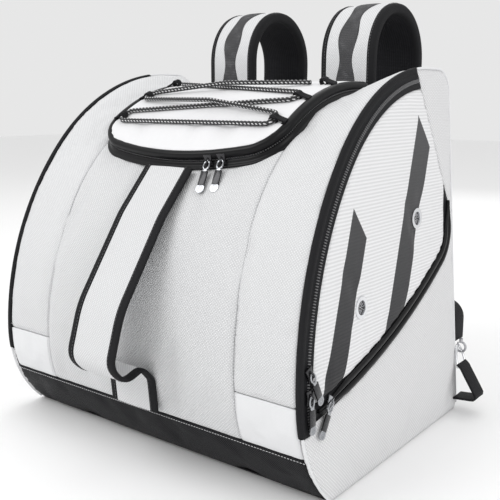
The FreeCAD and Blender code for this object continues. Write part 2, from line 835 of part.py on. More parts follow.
def slider(node, place):
    """A zip slider: X across, Y against its pull, Z out of the fabric."""
    low = size("slider_lift")
    plate_sizes = {
        "Length": "dimensions.slider_wide",
        "Width": "dimensions.slider_long",
        "Height": "dimensions.slider_thick",
    }
    plate = primitive("Box", "plate", **plate_sizes)
    plate.Placement.Base = Vector(-size("slider_wide") / 2, -size("slider_long") / 2, low)
    top = low + size("slider_thick")
    bail = primitive("Box", "bail", Height="dimensions.bail_high")
    bail.Length, bail.Width = BAIL_THICK, BAIL_LONG
    bail.Placement.Base = Vector(-BAIL_THICK / 2, -BAIL_LONG / 2, top)
    room = primitive("Box", "bail_room")
    room.Length, room.Width, room.Height = 2 * BAIL_THICK, BAIL_ROOM, BAIL_CLEAR
    room.Placement.Base = Vector(-BAIL_THICK, -BAIL_ROOM / 2, top)
    body = keep(node, cut(node, fuse("slider_blank", [plate, bail]), room))
    body.Placement = place
    return body


def pull(node, place):
    """A pull tab whose cross bar lies in the slider's bail, at the origin."""
    wide = size("pull_wide")
    thick = size("pull_thick")
    straight = size("pull_long") - wide / 2
    tab_sizes = {
        "Length": "dimensions.pull_wide",
        "Width": "dimensions.pull_long - dimensions.pull_wide / 2",
        "Height": "dimensions.pull_thick",
    }
    tab = primitive("Box", "tab", **tab_sizes)
    tab.Placement.Base = Vector(-wide / 2, thick / 2 - straight, -thick / 2)
    end = primitive("Cylinder", "tab_end", Radius="dimensions.pull_wide / 2", Height="dimensions.pull_thick")
    end.Placement.Base = Vector(0, thick / 2 - straight, -thick / 2)
    eye = primitive("Box", "tab_eye")
    eye.Length, eye.Width, eye.Height = PULL_EYE, PULL_EYE_LONG, 2 * thick
    eye.Placement.Base = Vector(-PULL_EYE / 2, -thick / 2 - PULL_EYE_LONG, -thick)
    hole = primitive("Cylinder", "tab_hole", Height="dimensions.pull_thick * 2")
    hole.Radius = PULL_HOLE
    hole.Placement.Base = Vector(0, thick / 2 - straight, -thick)
    body = keep(node, cut(node, fuse("tab_blank", [tab, end]), fuse("tab_holes", [eye, hole])))
    body.Placement = place.multiply(Placement(Vector(0, 0, BAR_HEIGHT), Rotation()))
    return body


def zip_frame(spot, swing):
    """Frame of a slider on the right side panel; swing turns its pull backwards."""
    turned = Placement(spot, Rotation(X_AXIS, swing))
    facing = Placement(Vector(), Rotation(Y_AXIS, Z_AXIS, X_AXIS, "ZXY"))
    return SIDE_PLACE.multiply(turned).multiply(facing)


belly_centre = (size("toe_centre") + front_shift(), size("belly_height"))
arc_zip_radius = size("front_radius") - TAPE
UPPER_TURN = math.radians(5.6)
LOWER_TURN = math.radians(1.9)
POCKET_SLIDER_Y = -122.0
pocket_slider_spot = side_of(POCKET_SLIDER_Y, diagonal_height(POCKET_SLIDER_Y, diagonal_radius))

# Each slider's place on the side, and how far its pull swings back, in degrees.
SIDE_SLIDERS = {
    "upper_slider": (polar(belly_centre, arc_zip_radius, UPPER_TURN), 24),
    "lower_slider": (polar(belly_centre, arc_zip_radius, LOWER_TURN), 0),
    "pocket_slider": (pocket_slider_spot, -35),
}
for name, (spot, swing) in SIDE_SLIDERS.items():
    frame = zip_frame(spot, swing)
    mirror(name + "_left", slider(name + "_right", frame))
    pull_name = name.replace("slider", "pull")
    mirror(pull_name + "_left", pull(pull_name + "_right", frame))

LID_SLIDER_PLACES = {"left": 48.0, "right": 64.0}
LID_PULL_DROP = 52.0


def lid_slider_frame(x):
    """Frame of a slider on the front wall of the lid, its Y pointing up the wall."""
    bow = size("lid_front_bow")
    turn = math.asin(x / bow)
    spot = Vector(bow * math.sin(turn), bow - bow * math.cos(turn), 0)
    outward = Vector(math.sin(turn), -math.cos(turn), 0)
    across = Vector(math.cos(turn), math.sin(turn), 0)
    foot = LID_PLACE.multVec(spot)
    height = (lid_point(x, spot.y, LID_ZIP)[0] - foot).Length
    frame = placed(spot + Z_AXIS * height, across, outward.cross(across))
    return LID_PLACE.multiply(frame)


for side, x in LID_SLIDER_PLACES.items():
    frame = lid_slider_frame(x)
    slider("lid_slider_" + side, frame)
    tab = pull("lid_pull_" + side, frame)
    tab.Placement = tab.Placement.multiply(Placement(Vector(), Rotation(X_AXIS, -LID_PULL_DROP)))

# --------------------------------------------------- lacing on the lid

LOOP_X = 106.0
LOOP_PLACES = [46, 92, 142]
EYE_OUTER = 4.6
EYE_INNER = 3.5
EYE_WIDE = 7.0
TURN_HALF = 9.0
CORD_HEIGHT = LID_RISE + EYE_OUTER
CROSS_RISE = 6.0
CROSS_HALF = 7.0
LOOP_STRIP = 1.2
LOOP_GAP = 0.05
CORD_END_IN = 14.0
CORD_END_AHEAD = 4.0
BEND_SHARE = 0.45


def lid_frame(x, along, height):
    origin, normal = lid_point(x, along, height)
    return placed(origin, X_AXIS, normal.cross(X_AXIS))


def lacing_loop(sign, along):
    """A webbing loop: a strip from the lid's seam to an eye round the cord."""
    centre_spot = Vector(0, -EYE_WIDE / 2, EYE_OUTER)
    eye = Part.makeCylinder(EYE_OUTER, EYE_WIDE, centre_spot, Y_AXIS)
    bore = Part.makeCylinder(EYE_INNER, EYE_WIDE, centre_spot, Y_AXIS)
    reach = size("lid_half_width") - LID_WALL - LOOP_X
    strip = Part.makeBox(reach, EYE_WIDE, LOOP_STRIP, Vector(0, -EYE_WIDE / 2, 0))
    if sign < 0:
        strip = strip.mirror(Vector(), X_AXIS)
    loop = eye.fuse(strip).cut(bore)
    loop.Placement = lid_frame(sign * LOOP_X, along, LID_RISE + LOOP_GAP)
    return loop


loops = [lacing_loop(sign, along) for along in LOOP_PLACES for sign in (-1, 1)]
group("lacing_loops", loops)


def loop_turn(sign, along, forward):
    """The two corners where the cord goes through a loop, in travel order."""
    turn = TURN_HALF if forward else -TURN_HALF
    corners = [along - turn, along + turn]
    return [lid_point(sign * LOOP_X, place, CORD_HEIGHT)[0] for place in corners]


def crossing(first, second):
    """Three points of the hump where the cord passes over itself."""
    along = (LOOP_PLACES[first] + LOOP_PLACES[second]) / 2
    rise = CORD_HEIGHT + CROSS_RISE
    return [lid_point(sign * CROSS_HALF, along, rise)[0] for sign in (1, -1)]


front, middle, rear = LOOP_PLACES
cord_end_x = LOOP_X - CORD_END_IN
cord_end_along = rear - CORD_END_AHEAD
cord_points = [lid_point(-cord_end_x, cord_end_along, CORD_HEIGHT)[0]]
cord_points += loop_turn(1, middle, False)
cord_points += loop_turn(-1, front, False)
cord_points += loop_turn(1, front, True)
cord_points += crossing(0, 1)
cord_points += loop_turn(-1, middle, True)
cord_points += list(reversed(crossing(1, 2)))
cord_points += [lid_point(cord_end_x, cord_end_along, CORD_HEIGHT)[0]]


def cord_radii(points):
    """The largest arc that each corner's two runs leave room for."""
    radii = []
    for index in range(1, len(points) - 1):
        way_in = points[index] - points[index - 1]
        way_out = points[index + 1] - points[index]
        turn = way_in.getAngle(way_out)
        radii.append(BEND_SHARE * min(way_in.Length, way_out.Length) / math.tan(turn / 2))
    return radii


bungee_bends = cord_radii(cord_points)
bungee_edges = bend_edges(cord_points, bungee_bends)
bungee = swept(bungee_edges, size("cord_radius"))
bungee_length = sum(edge.Length for edge in bungee_edges)
feature("bungee_cord", bungee)
print("bungee radii", [round(radius, 1) for radius in bungee_bends])
print("bungee length", round(bungee_length, 1))
cord_section = math.pi * size("cord_radius") ** 2
print("bungee volume over section times length", bungee.Volume / (cord_section * bungee_length))

# ---------------------------------------------------------------- finishing

doc.recompute()
faults = [obj.Name for obj in doc.Objects if "Invalid" in obj.State or "Error" in obj.State]
for node, obj in NODES.items():
    shape = obj.Shape
    if shape.isNull() or not shape.isValid() or not shape.Solids:
        faults.append(node)
if faults:
    raise SystemExit("these sub-parts failed: " + ", ".join(faults))

os.makedirs("parts", exist_ok=True)
for node, obj in NODES.items():
    obj.Shape.exportStep(os.path.join("parts", node + ".step"))
whole = FreeCAD.BoundBox()
for obj in NODES.values():
    whole.add(obj.Shape.BoundBox)
print(len(NODES), "sub-parts,", sum(len(obj.Shape.Solids) for obj in NODES.values()), "solids")
box = (whole.XMin, whole.XMax, whole.YMin, whole.YMax, whole.ZMin, whole.ZMax)
print("box", [round(value, 1) for value in box])
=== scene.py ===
# %% [markdown]
# # A ski boot bag
# The lesson builds the looks of a tall bag for two ski boots and a helmet. The hard facts, such as where
# each panel, zip and buckle lies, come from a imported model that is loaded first. Each soft panel is then made
# again in Blender, because a real bag is sewn from padded cloth and the loaded solids are stiff and plain.
#
# All lengths are in metres. X goes right seen from the front, Y goes back and Z goes up.

# %% Load the fixed frame
import json
import math

import bmesh
import bpy
import numpy as np
from mathutils import Matrix, Vector

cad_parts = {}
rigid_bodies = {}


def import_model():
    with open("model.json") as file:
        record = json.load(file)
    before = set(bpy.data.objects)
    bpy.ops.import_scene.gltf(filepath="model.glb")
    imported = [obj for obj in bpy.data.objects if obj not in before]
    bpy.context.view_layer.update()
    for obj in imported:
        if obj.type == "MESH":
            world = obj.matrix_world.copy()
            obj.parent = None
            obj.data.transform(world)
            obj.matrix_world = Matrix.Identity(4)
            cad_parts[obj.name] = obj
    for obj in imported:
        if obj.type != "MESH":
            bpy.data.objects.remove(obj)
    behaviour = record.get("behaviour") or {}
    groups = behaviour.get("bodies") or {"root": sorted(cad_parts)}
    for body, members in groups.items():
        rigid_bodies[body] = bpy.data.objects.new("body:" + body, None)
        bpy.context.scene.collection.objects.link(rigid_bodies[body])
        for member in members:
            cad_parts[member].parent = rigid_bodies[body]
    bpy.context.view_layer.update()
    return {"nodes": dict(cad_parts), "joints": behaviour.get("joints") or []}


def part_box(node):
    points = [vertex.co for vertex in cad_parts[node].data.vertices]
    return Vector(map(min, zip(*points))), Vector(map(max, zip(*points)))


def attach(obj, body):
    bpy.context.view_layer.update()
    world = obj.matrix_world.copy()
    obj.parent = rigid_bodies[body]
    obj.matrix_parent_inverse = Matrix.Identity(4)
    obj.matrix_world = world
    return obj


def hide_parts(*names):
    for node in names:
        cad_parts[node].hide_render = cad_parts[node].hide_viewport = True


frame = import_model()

MM = 0.001
scene = bpy.context.scene

# %% [markdown]
# ## Camera
# The camera stands a little above the bag, to the right of its front, with a lens slightly longer than
# normal. A longer lens keeps the upright edges nearly parallel.

# %% Camera
CAMERA_PLACE = (0.5508, -0.6815, 0.3664)
CAMERA_TURN = (78.851, 0.0, 37.716)
CAMERA_LENS = 55.26

bpy.ops.object.camera_add(location=CAMERA_PLACE, rotation=[math.radians(a) for a in CAMERA_TURN])
camera = bpy.context.object
camera.name = "camera"
camera.data.lens = CAMERA_LENS
camera.data.sensor_width = 36.0
camera.data.clip_start = 0.01
scene.camera = camera
print("camera lens", camera.data.lens)

# %% [markdown]
# ## The bag's outline
# Seen from the side the bag is one closed line: an arc that turns under the front, a long front arc, a
# crown arc, a level top, a rounded rear edge and a leaning back. The middle of the bag is lower than its
# sides. The same arcs are worked out here, so that cloth, seams and stitches can be laid on them.

# %% Outline of the bag
BASE_HALF = 0.212
SIDE_TAPER = 0.05
BASE_BACK = 0.165
BACK_LEAN = 0.06
TOE = (-0.030, 0.102)
TOE_RADIUS = 0.136
FRONT_RADIUS = 0.330
BELLY = (TOE[0] + FRONT_RADIUS - TOE_RADIUS, TOE[1])
REAR_CORNER = 0.028
MIDDLE = (0.370, 0.240)
SIDE = (0.398, 0.317)
SEAM_FOOT = 0.138
SEAM_TAPER = 0.046
BAND_TOP = 0.053
PATCH_TOP = 0.103


def polar(centre, radius, angle):
    """A point of the side view, at an angle from straight ahead, upwards."""
    return np.array((centre[0] - radius * math.cos(angle), centre[1] + radius * math.sin(angle)))


def crown_of(level):
    top, start = level
    angle = math.asin((start - BELLY[1]) / FRONT_RADIUS)
    radius = (top - start) / (1 - math.sin(angle))
    tangent = polar(BELLY, FRONT_RADIUS, angle)
    centre = (tangent[0] + radius * math.cos(angle), tangent[1] - radius * math.sin(angle))
    return angle, radius, centre


def outline(level, offset=0.0, steps=24):
    """The side view as (y, z) points: toe arc, front arc, crown, top, rear corner and back."""
    top = level[0]
    angle, radius, centre = crown_of(level)
    toe_angle = math.asin((-offset - TOE[1]) / (TOE_RADIUS + offset))
    corner = (BASE_BACK - REAR_CORNER * math.hypot(1, BACK_LEAN) - BACK_LEAN * (top - REAR_CORNER), top - REAR_CORNER)
    turns = (
        (TOE, TOE_RADIUS + offset, toe_angle, 0.0),
        (BELLY, FRONT_RADIUS + offset, 0.0, angle),
        (centre, radius + offset, angle, math.pi / 2),
        (corner, REAR_CORNER + offset, math.pi / 2, math.pi - math.atan(BACK_LEAN)),
    )
    runs = [[polar(c, r, a + (b - a) * k / steps) for k in range(steps + 1)] for c, r, a, b in turns]
    flat = [runs[2][-1] + (runs[3][0] - runs[2][-1]) * k / steps for k in range(1, steps)]
    foot = np.array((BASE_BACK + offset, -offset))
    back = [runs[3][-1] + (foot - runs[3][-1]) * k / steps for k in range(1, steps + 1)]
    return np.array(runs[0] + runs[1][1:] + runs[2][1:] + flat + runs[3] + back)


middle_line = outline(MIDDLE)
side_line = outline(SIDE)
print("outline points", len(middle_line), len(side_line))

# %% [markdown]
# A point of cloth needs to know how far along the outline it lies, and which way is out. Both come from the
# nearest piece of the outline, for all points at once.

# %% How far along a line


def runs_of(line):
    """The distance run along a line at each of its points."""
    return np.concatenate(([0.0], np.cumsum(np.linalg.norm(np.diff(line, axis=0), axis=1))))


def read_at(wanted, runs, rows):
    """Rows read between their points, at wanted distances along their line."""
    return np.stack([np.interp(wanted, runs, rows[:, k]) for k in range(rows.shape[1])], axis=1)


def along_line(points, line):
    """For (y, z) points: distance run along a line of points, distance off it, and its outward normal."""
    starts = line[:-1]
    ways = line[1:] - starts
    lengths = np.linalg.norm(ways, axis=1)
    runs = runs_of(line)
    off = points[:, None, :] - starts[None, :, :]
    share = np.clip((off * ways).sum(2) / np.maximum(lengths**2, 1e-12), 0, 1)
    gap = off - share[:, :, None] * ways
    best = np.argmin((gap**2).sum(2), axis=1)
    rows = np.arange(len(points))
    run = runs[best] + share[rows, best] * lengths[best]
    way = ways[best] / lengths[best][:, None]
    out = np.stack((-way[:, 1], way[:, 0]), axis=1)
    return run, (gap[rows, best] * out).sum(1), out


def out_of(points, line):
    """A line's outward direction at (y, z) points, as (x, y, z) rows."""
    return np.column_stack((np.zeros(len(points)), along_line(points, line)[2]))


print("front length", round(float(along_line(np.array([[0.1, 0.37]]), middle_line)[0][0]), 3))

# %% [markdown]
# ## Light and floor
# Four big square lamps, at the front left, the right, above and behind, and a pale sky give even cloth with
# quiet shadows. A bigger lamp makes a softer shadow. The floor is plain and nearly white.

# %% Floor and lights
bpy.ops.mesh.primitive_plane_add(size=12.0, location=(0, 0, -0.0002))
floor = bpy.context.object
floor.name = "floor"
floor_paint = bpy.data.materials.new("floor_paint")
floor_paint.use_nodes = True
floor_shader = floor_paint.node_tree.nodes["Principled BSDF"]
floor_shader.inputs["Base Color"].default_value = (0.93, 0.93, 0.93, 1)
floor_shader.inputs["Roughness"].default_value = 0.7
floor.data.materials.append(floor_paint)


def soft_light(name, place, target, size, power):
    bpy.ops.object.light_add(type="AREA", location=place)
    lamp = bpy.context.object
    lamp.name = name
    lamp.data.shape = "SQUARE"
    lamp.data.size = size
    lamp.data.energy = power
    way = Vector(target) - Vector(place)
    lamp.rotation_euler = way.to_track_quat("-Z", "Y").to_euler()
    return lamp


soft_light("key_light", (-0.9, -1.5, 1.7), (0, 0, 0.2), 1.4, 20)
soft_light("side_light", (1.9, -0.5, 1.1), (0, 0, 0.2), 1.4, 10)
soft_light("top_light", (0.1, 0.6, 2.1), (0, 0, 0.3), 1.6, 5)
soft_light("rear_light", (-0.6, 1.9, 1.2), (0, 0, 0.3), 1.4, 6)
world = bpy.data.worlds.new("studio")
world.use_nodes = True
world.node_tree.nodes["Background"].inputs["Color"].default_value = (1, 1, 1, 1)
world.node_tree.nodes["Background"].inputs["Strength"].default_value = 0.80
scene.world = world
scene.view_settings.view_transform = "Standard"
scene.view_settings.look = "None"

# %% [markdown]
# ## Cloth, tape and metal
# Every finish is made from nodes. A small helper adds a node and links its inputs, so that each recipe reads
# like a sentence. Weaves follow the piece's own UV map, whose unit is a metre, so a thread has its real size.

# %% Node helpers


class Recipe:
    """One material: a shader with short calls to add and link nodes."""

    def __init__(self, name, colour, roughness, metallic=0.0, sheen=0.0, coat=0.0, specular=0.5):
        self.material = bpy.data.materials.new(name)
        self.material.use_nodes = True
        self.tree = self.material.node_tree
        self.shader = self.tree.nodes["Principled BSDF"]
        self.shader.inputs["Base Color"].default_value = (*colour, 1)
        self.shader.inputs["Roughness"].default_value = roughness
        self.shader.inputs["Metallic"].default_value = metallic
        self.shader.inputs["Sheen Weight"].default_value = sheen
        self.shader.inputs["Coat Weight"].default_value = coat
        self.shader.inputs["Specular IOR Level"].default_value = specular
        self.colour = (*colour, 1)

    def add(self, kind, settings=None, **inputs):
        node = self.tree.nodes.new(kind)
        for key, value in (settings or {}).items():
            setattr(node, key, value)
        for key, value in inputs.items():
            self.put(node, key, value)
        return node

    def put(self, node, key, value):
        if isinstance(value, bpy.types.NodeSocket):
            self.tree.links.new(value, node.inputs[key])
        else:
            node.inputs[key].default_value = value

    def math(self, operation, *values):
        node = self.add("ShaderNodeMath", {"operation": operation})
        for index, value in enumerate(values):
            self.put(node, index, value)
        return node.outputs[0]

    def uv(self):
        node = self.add("ShaderNodeUVMap", {"uv_map": "cloth"})
        split = self.add("ShaderNodeSeparateXYZ", Vector=node.outputs[0])
        return split.outputs[0], split.outputs[1]

    def wave(self, value, pitch, shift=0.0):
        """A sine between 0 and 1 with that pitch in metres."""
        turned = self.math("MULTIPLY_ADD", value, math.tau / pitch, shift)
        return self.math("MULTIPLY_ADD", self.math("SINE", turned), 0.5, 0.5)

    def noise(self, scale, detail):
        place = self.add("ShaderNodeTexCoord").outputs["Object"]
        return self.add("ShaderNodeTexNoise", Scale=scale, Detail=detail, Vector=place).outputs["Fac"]

    def mix(self, factor, low, high):
        node = self.add("ShaderNodeMix", {"data_type": "RGBA"})
        self.put(node, 0, factor)
        self.put(node, 6, low)
        self.put(node, 7, high)
        return node.outputs[2]

    def paint(self, socket):
        self.put(self.shader, "Base Color", socket)

    def rough(self, factor, low, high):
        node = self.add("ShaderNodeMapRange")
        self.put(node, 0, factor)
        self.put(node, 3, low)
        self.put(node, 4, high)
        self.put(self.shader, "Roughness", node.outputs[0])

    def bump(self, height, distance, strength=1.0):
        node = self.add("ShaderNodeBump", Strength=strength, Distance=distance, Height=height)
        self.put(self.shader, "Normal", node.outputs[0])


def shade(colour, factor):
    return (*(c * factor for c in colour[:3]), 1)


print("helpers ready")

# %% [markdown]
# The pale cloths differ in weave. The front panel, the strips beside it and the sides have small dots on a
# diagonal grid, the doors flat ribs across, and the lower patches a smooth cloth. Each also has slow blotches
# of tone and a little fuzz, as washed polyester has.

# %% Pale cloths


def pale_cloth(name, weave, pitch, depth, colour, dark):
    made = Recipe(name, colour, 0.82, sheen=0.12, specular=0.25)
    u, v = made.uv()
    if weave == "dots":
        one = made.wave(made.math("ADD", u, v), pitch)
        two = made.wave(made.math("SUBTRACT", u, v), pitch)
        height = made.math("MULTIPLY", one, two)
    elif weave == "ribs":
        rib = made.wave(v, pitch)
        fleck = made.wave(u, pitch * 0.6)
        height = made.math("MULTIPLY_ADD", fleck, 0.18, made.math("MULTIPLY", rib, 0.82))
    else:
        warp = made.wave(u, pitch)
        height = made.math("MULTIPLY", made.math("ADD", warp, made.wave(v, pitch)), 0.5)
    blotch = made.noise(9.0, 4.0)
    fuzz = made.noise(900.0, 2.0)
    toned = made.mix(height, shade(made.colour, dark), made.colour)
    aged = made.mix(made.math("MULTIPLY", blotch, 0.10), toned, shade(made.colour, 0.72))
    made.paint(aged)
    made.rough(fuzz, 0.72, 0.92)
    relief = made.math("MULTIPLY_ADD", fuzz, 0.25, height)
    made.bump(relief, depth, 0.8)
    return made


diamond_cloth = pale_cloth("diamond_cloth", "dots", 0.0032, 0.00060, (0.86, 0.865, 0.875), 0.66).material
fine_dot_cloth = pale_cloth("fine_dot_cloth", "dots", 0.0030, 0.00045, (0.84, 0.845, 0.855), 0.70).material
patch_cloth = pale_cloth("patch_cloth", "plain", 0.0013, 0.00012, (0.76, 0.765, 0.775), 0.94).material
lid_cloth = pale_cloth("lid_cloth", "plain", 0.0014, 0.00012, (0.78, 0.78, 0.79), 0.93).material
side_cloth = pale_cloth("side_cloth", "dots", 0.0034, 0.00045, (0.86, 0.86, 0.87), 0.70).material
print("pale cloths", [m.name for m in bpy.data.materials if m.name.endswith("cloth")])

# %% [markdown]
# The doors carry a print: two slanted bands in dark grey, each cut off at a slope, that fade upwards. The
# print is part of the door's cloth, so it is mixed in by the door's own UV map and not added as a sticker.

# %% Printed door cloth
door_made = pale_cloth("door_cloth", "ribs", 0.0034, 0.00040, (0.82, 0.82, 0.83), 0.76)
PRINT_BANDS = ((-0.170, -0.136, 0.268), (-0.064, -0.026, 0.350))
PRINT_SLANT = -0.36
PRINT_CUT = 0.9


def print_bands(made):
    """Mixes slanted grey bands into a cloth's colour."""
    u, v = made.uv()
    slant = made.math("MULTIPLY_ADD", v, PRINT_SLANT, u)
    mask = None
    for low, high, top in PRINT_BANDS:
        inside = made.math("MULTIPLY", made.math("GREATER_THAN", slant, low), made.math("LESS_THAN", slant, high))
        slope = made.math("MULTIPLY_ADD", made.math("SUBTRACT", slant, low), PRINT_CUT, v)
        inside = made.math("MULTIPLY", inside, made.math("LESS_THAN", slope, top))
        mask = inside if mask is None else made.math("ADD", mask, inside)
    fade = made.add("ShaderNodeMapRange")
    made.put(fade, 0, v)
    made.put(fade, 1, 0.10)
    made.put(fade, 2, 0.38)
    ink = made.mix(fade.outputs[0], (0.022, 0.022, 0.024, 1), (0.070, 0.070, 0.073, 1))
    cloth = made.shader.inputs["Base Color"].links[0].from_socket
    made.paint(made.mix(mask, cloth, ink))


print_bands(door_made)
door_cloth = door_made.material
print("printed bands", len(PRINT_BANDS))

# %% [markdown]
# The dark finishes: a coated band with fine slanted ribs, zip tape with close ribs, binding and webbing with
# a crossed weave, an airy mesh inside the straps, and a smooth coating for the lid's rolled edge.

# %% Dark cloths
BLACK = (0.006, 0.006, 0.007)


def dark_cloth(name, weave, pitch, depth, colour=BLACK, roughness=(0.45, 0.65), light=1.8, coat=0.0):
    made = Recipe(name, colour, roughness[0], coat=coat, specular=0.12)
    u, v = made.uv()
    if weave == "slant":
        height = made.wave(made.math("MULTIPLY_ADD", v, 0.55, u), pitch)
    elif weave == "across":
        height = made.wave(v, pitch)
    elif weave == "crossed":
        one = made.wave(made.math("ADD", u, v), pitch)
        height = made.math("MULTIPLY", one, made.wave(made.math("SUBTRACT", u, v), pitch))
    elif weave == "holes":
        holes = made.math("MULTIPLY", made.wave(u, pitch), made.wave(v, pitch * 0.62))
        height = made.math("POWER", holes, 0.5)
    else:
        height = made.noise(420.0, 3.0)
    fuzz = made.noise(700.0, 2.0)
    tone = made.mix(height, made.colour, shade(made.colour, light))
    dust = made.mix(made.math("MULTIPLY", made.noise(14.0, 5.0), 0.15), tone, shade(made.colour, light * 1.5))
    made.paint(dust)
    made.rough(fuzz, *roughness)
    made.bump(made.math("MULTIPLY_ADD", fuzz, 0.2, height), depth, 0.9)
    return made.material


band_cloth = dark_cloth("band_cloth", "slant", 0.0026, 0.00040, (0.009, 0.009, 0.010), (0.42, 0.60))
tape_cloth = dark_cloth("tape_cloth", "across", 0.0011, 0.00020)
binding_cloth = dark_cloth("binding_cloth", "crossed", 0.0016, 0.00025, (0.011, 0.011, 0.012), (0.6, 0.8))
webbing_cloth = dark_cloth("webbing_cloth", "across", 0.0016, 0.00035, (0.010, 0.010, 0.011), (0.55, 0.75))
mesh_cloth = dark_cloth("mesh_cloth", "holes", 0.0030, 0.0006, (0.007, 0.007, 0.008), (0.7, 0.9), 3.2)
stripe_cloth = dark_cloth("stripe_cloth", "holes", 0.0034, 0.0006, (0.050, 0.050, 0.052), (0.5, 0.7), 3.2)
rolled_cloth = dark_cloth("rolled_cloth", "grain", 0.001, 0.00012, (0.004, 0.004, 0.0045), (0.26, 0.40), 1.6, 0.12)
lining_cloth = dark_cloth("lining_cloth", "crossed", 0.0022, 0.00015, (0.035, 0.035, 0.037), (0.6, 0.8))
print("dark cloths", 8)

# %% [markdown]
# Metal and plastic have no weave. They read the piece's Object coordinates, with faint scratches in the
# metal's gloss and a fine grain on the plastic.

# %% Metal, plastic and thread


def hard_finish(name, colour, roughness, metallic, grain, depth, spread=0.15, coat=0.0):
    made = Recipe(name, colour, roughness, metallic=metallic, coat=coat)
    speck = made.noise(grain, 4.0)
    made.rough(speck, max(roughness - spread, 0.03), roughness + spread)
    wear = made.noise(60.0, 5.0)
    made.paint(made.mix(made.math("MULTIPLY", wear, 0.35), made.colour, shade(made.colour, 0.7)))
    made.bump(speck, depth, 0.6)
    return made.material


chrome = hard_finish("bright_chrome", (0.80, 0.81, 0.83), 0.12, 1.0, 800.0, 0.00002, 0.08)
steel = hard_finish("hook_steel", (0.46, 0.46, 0.48), 0.28, 1.0, 900.0, 0.00004, 0.12)
slider_black = hard_finish("slider_black", (0.030, 0.030, 0.033), 0.26, 0.7, 600.0, 0.00004, 0.10, 0.3)
slider_silver = hard_finish("slider_silver", (0.42, 0.43, 0.45), 0.26, 1.0, 800.0, 0.00003, 0.1)
buckle_plastic = hard_finish("buckle_plastic", (0.022, 0.022, 0.024), 0.42, 0.0, 1500.0, 0.00006)
coil_plastic = hard_finish("coil_plastic", (0.15, 0.15, 0.155), 0.30, 0.0, 900.0, 0.00003, 0.10, 0.4)
pale_thread = hard_finish("pale_thread", (0.70, 0.70, 0.71), 0.75, 0.0, 3000.0, 0.00008)
dark_thread = hard_finish("dark_thread", (0.10, 0.10, 0.105), 0.70, 0.0, 3000.0, 0.00008)
print("hard finishes", 8)

# %% [markdown]
# ## Padded panels
# Each panel of the real bag is two layers of cloth with thin foam between, sewn along its edges. So each one
# starts as a copy of its stiff solid, is cut into small squares, and then a cloth simulation blows it up a
# little while its sewn edges stay where they are. Small squares matter, because cloth can only fold between
# corners. The movement is capped, so that the panel stays in its place.

# %% Cut a copy into squares
PITCH = 0.0075


def drop_all():
    bpy.ops.object.select_all(action="DESELECT")


def pick(piece):
    drop_all()
    piece.select_set(True)
    bpy.context.view_layer.objects.active = piece


def copied(node, name):
    """A new piece from a loaded node's mesh, merged and with its flat faces joined."""
    piece = bpy.data.objects.new(name, frame["nodes"][node].data.copy())
    scene.collection.objects.link(piece)
    pick(piece)
    piece.data.materials.clear()
    for layer in list(piece.data.uv_layers):
        piece.data.uv_layers.remove(layer)
    shell = bmesh.new()
    shell.from_mesh(piece.data)
    bmesh.ops.remove_doubles(shell, verts=shell.verts, dist=0.00002)
    bmesh.ops.dissolve_limit(shell, angle_limit=math.radians(1.0), verts=shell.verts, edges=shell.edges)
    shell.to_mesh(piece.data)
    shell.free()
    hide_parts(node)
    return piece


def cut_planes(piece, planes):
    """Cuts the piece with planes, each a point and a normal."""
    shell = bmesh.new()
    shell.from_mesh(piece.data)
    for place, way in planes:
        everything = shell.verts[:] + shell.edges[:] + shell.faces[:]
        bmesh.ops.bisect_plane(shell, geom=everything, dist=0.00001, plane_co=place, plane_no=way)
    bmesh.ops.triangulate(shell, faces=[f for f in shell.faces if len(f.verts) > 4])
    shell.to_mesh(piece.data)
    shell.free()


def steps_between(low, high, pitch=PITCH):
    count = max(int((high - low) / pitch), 1)
    return [low + (high - low) * k / count for k in range(1, count)]


def coords_of(piece):
    flat = np.empty(len(piece.data.vertices) * 3)
    piece.data.vertices.foreach_get("co", flat)
    return flat.reshape(-1, 3)


def planes_for_front(piece):
    """Planes across X, and planes square to the middle outline as far as the piece reaches along it."""
    line = middle_line
    places = coords_of(piece)
    reach = along_line(places[:, 1:], line)[0]
    planes = [((x, 0, 0), (1, 0, 0)) for x in steps_between(places[:, 0].min(), places[:, 0].max())]
    ways = line[1:] - line[:-1]
    runs = runs_of(line)
    for run in steps_between(reach.min(), reach.max()):
        index = min(int(np.searchsorted(runs, run)) - 1, len(ways) - 1)
        point = line[index] + ways[index] * ((run - runs[index]) / np.linalg.norm(ways[index]))
        planes.append(((0, point[0], point[1]), (0, ways[index][0], ways[index][1])))
    return planes


def planes_for_side(piece):
    places = coords_of(piece)
    low, high = places.min(0), places.max(0)
    planes = [((0, y, 0), (0, 1, 0)) for y in steps_between(low[1], high[1])]
    return planes + [((0, 0, z), (0, 0, 1)) for z in steps_between(low[2], high[2])]


print("pitch of the squares", PITCH)

# %% [markdown]
# A point's outward direction tells the outer cloth from the lining and from the sewn edge. The sewn edge is
# pinned. The outer cloth gets the weave's UV map, and the inside gets a dark lining.

# %% Outward, lining and weave map
SIDE_ANGLE = math.atan(SIDE_TAPER)


def outward_front(places):
    return out_of(places[:, 1:], middle_line)


def outward_side(places):
    sign = np.sign(places[:, 0])
    up = np.full(len(places), math.sin(SIDE_ANGLE))
    return np.column_stack((sign * math.cos(SIDE_ANGLE), np.zeros(len(places)), up))


def weave_front(places):
    return np.column_stack((places[:, 0], along_line(places[:, 1:], middle_line)[0]))


def weave_side(places):
    return places[:, 1:]


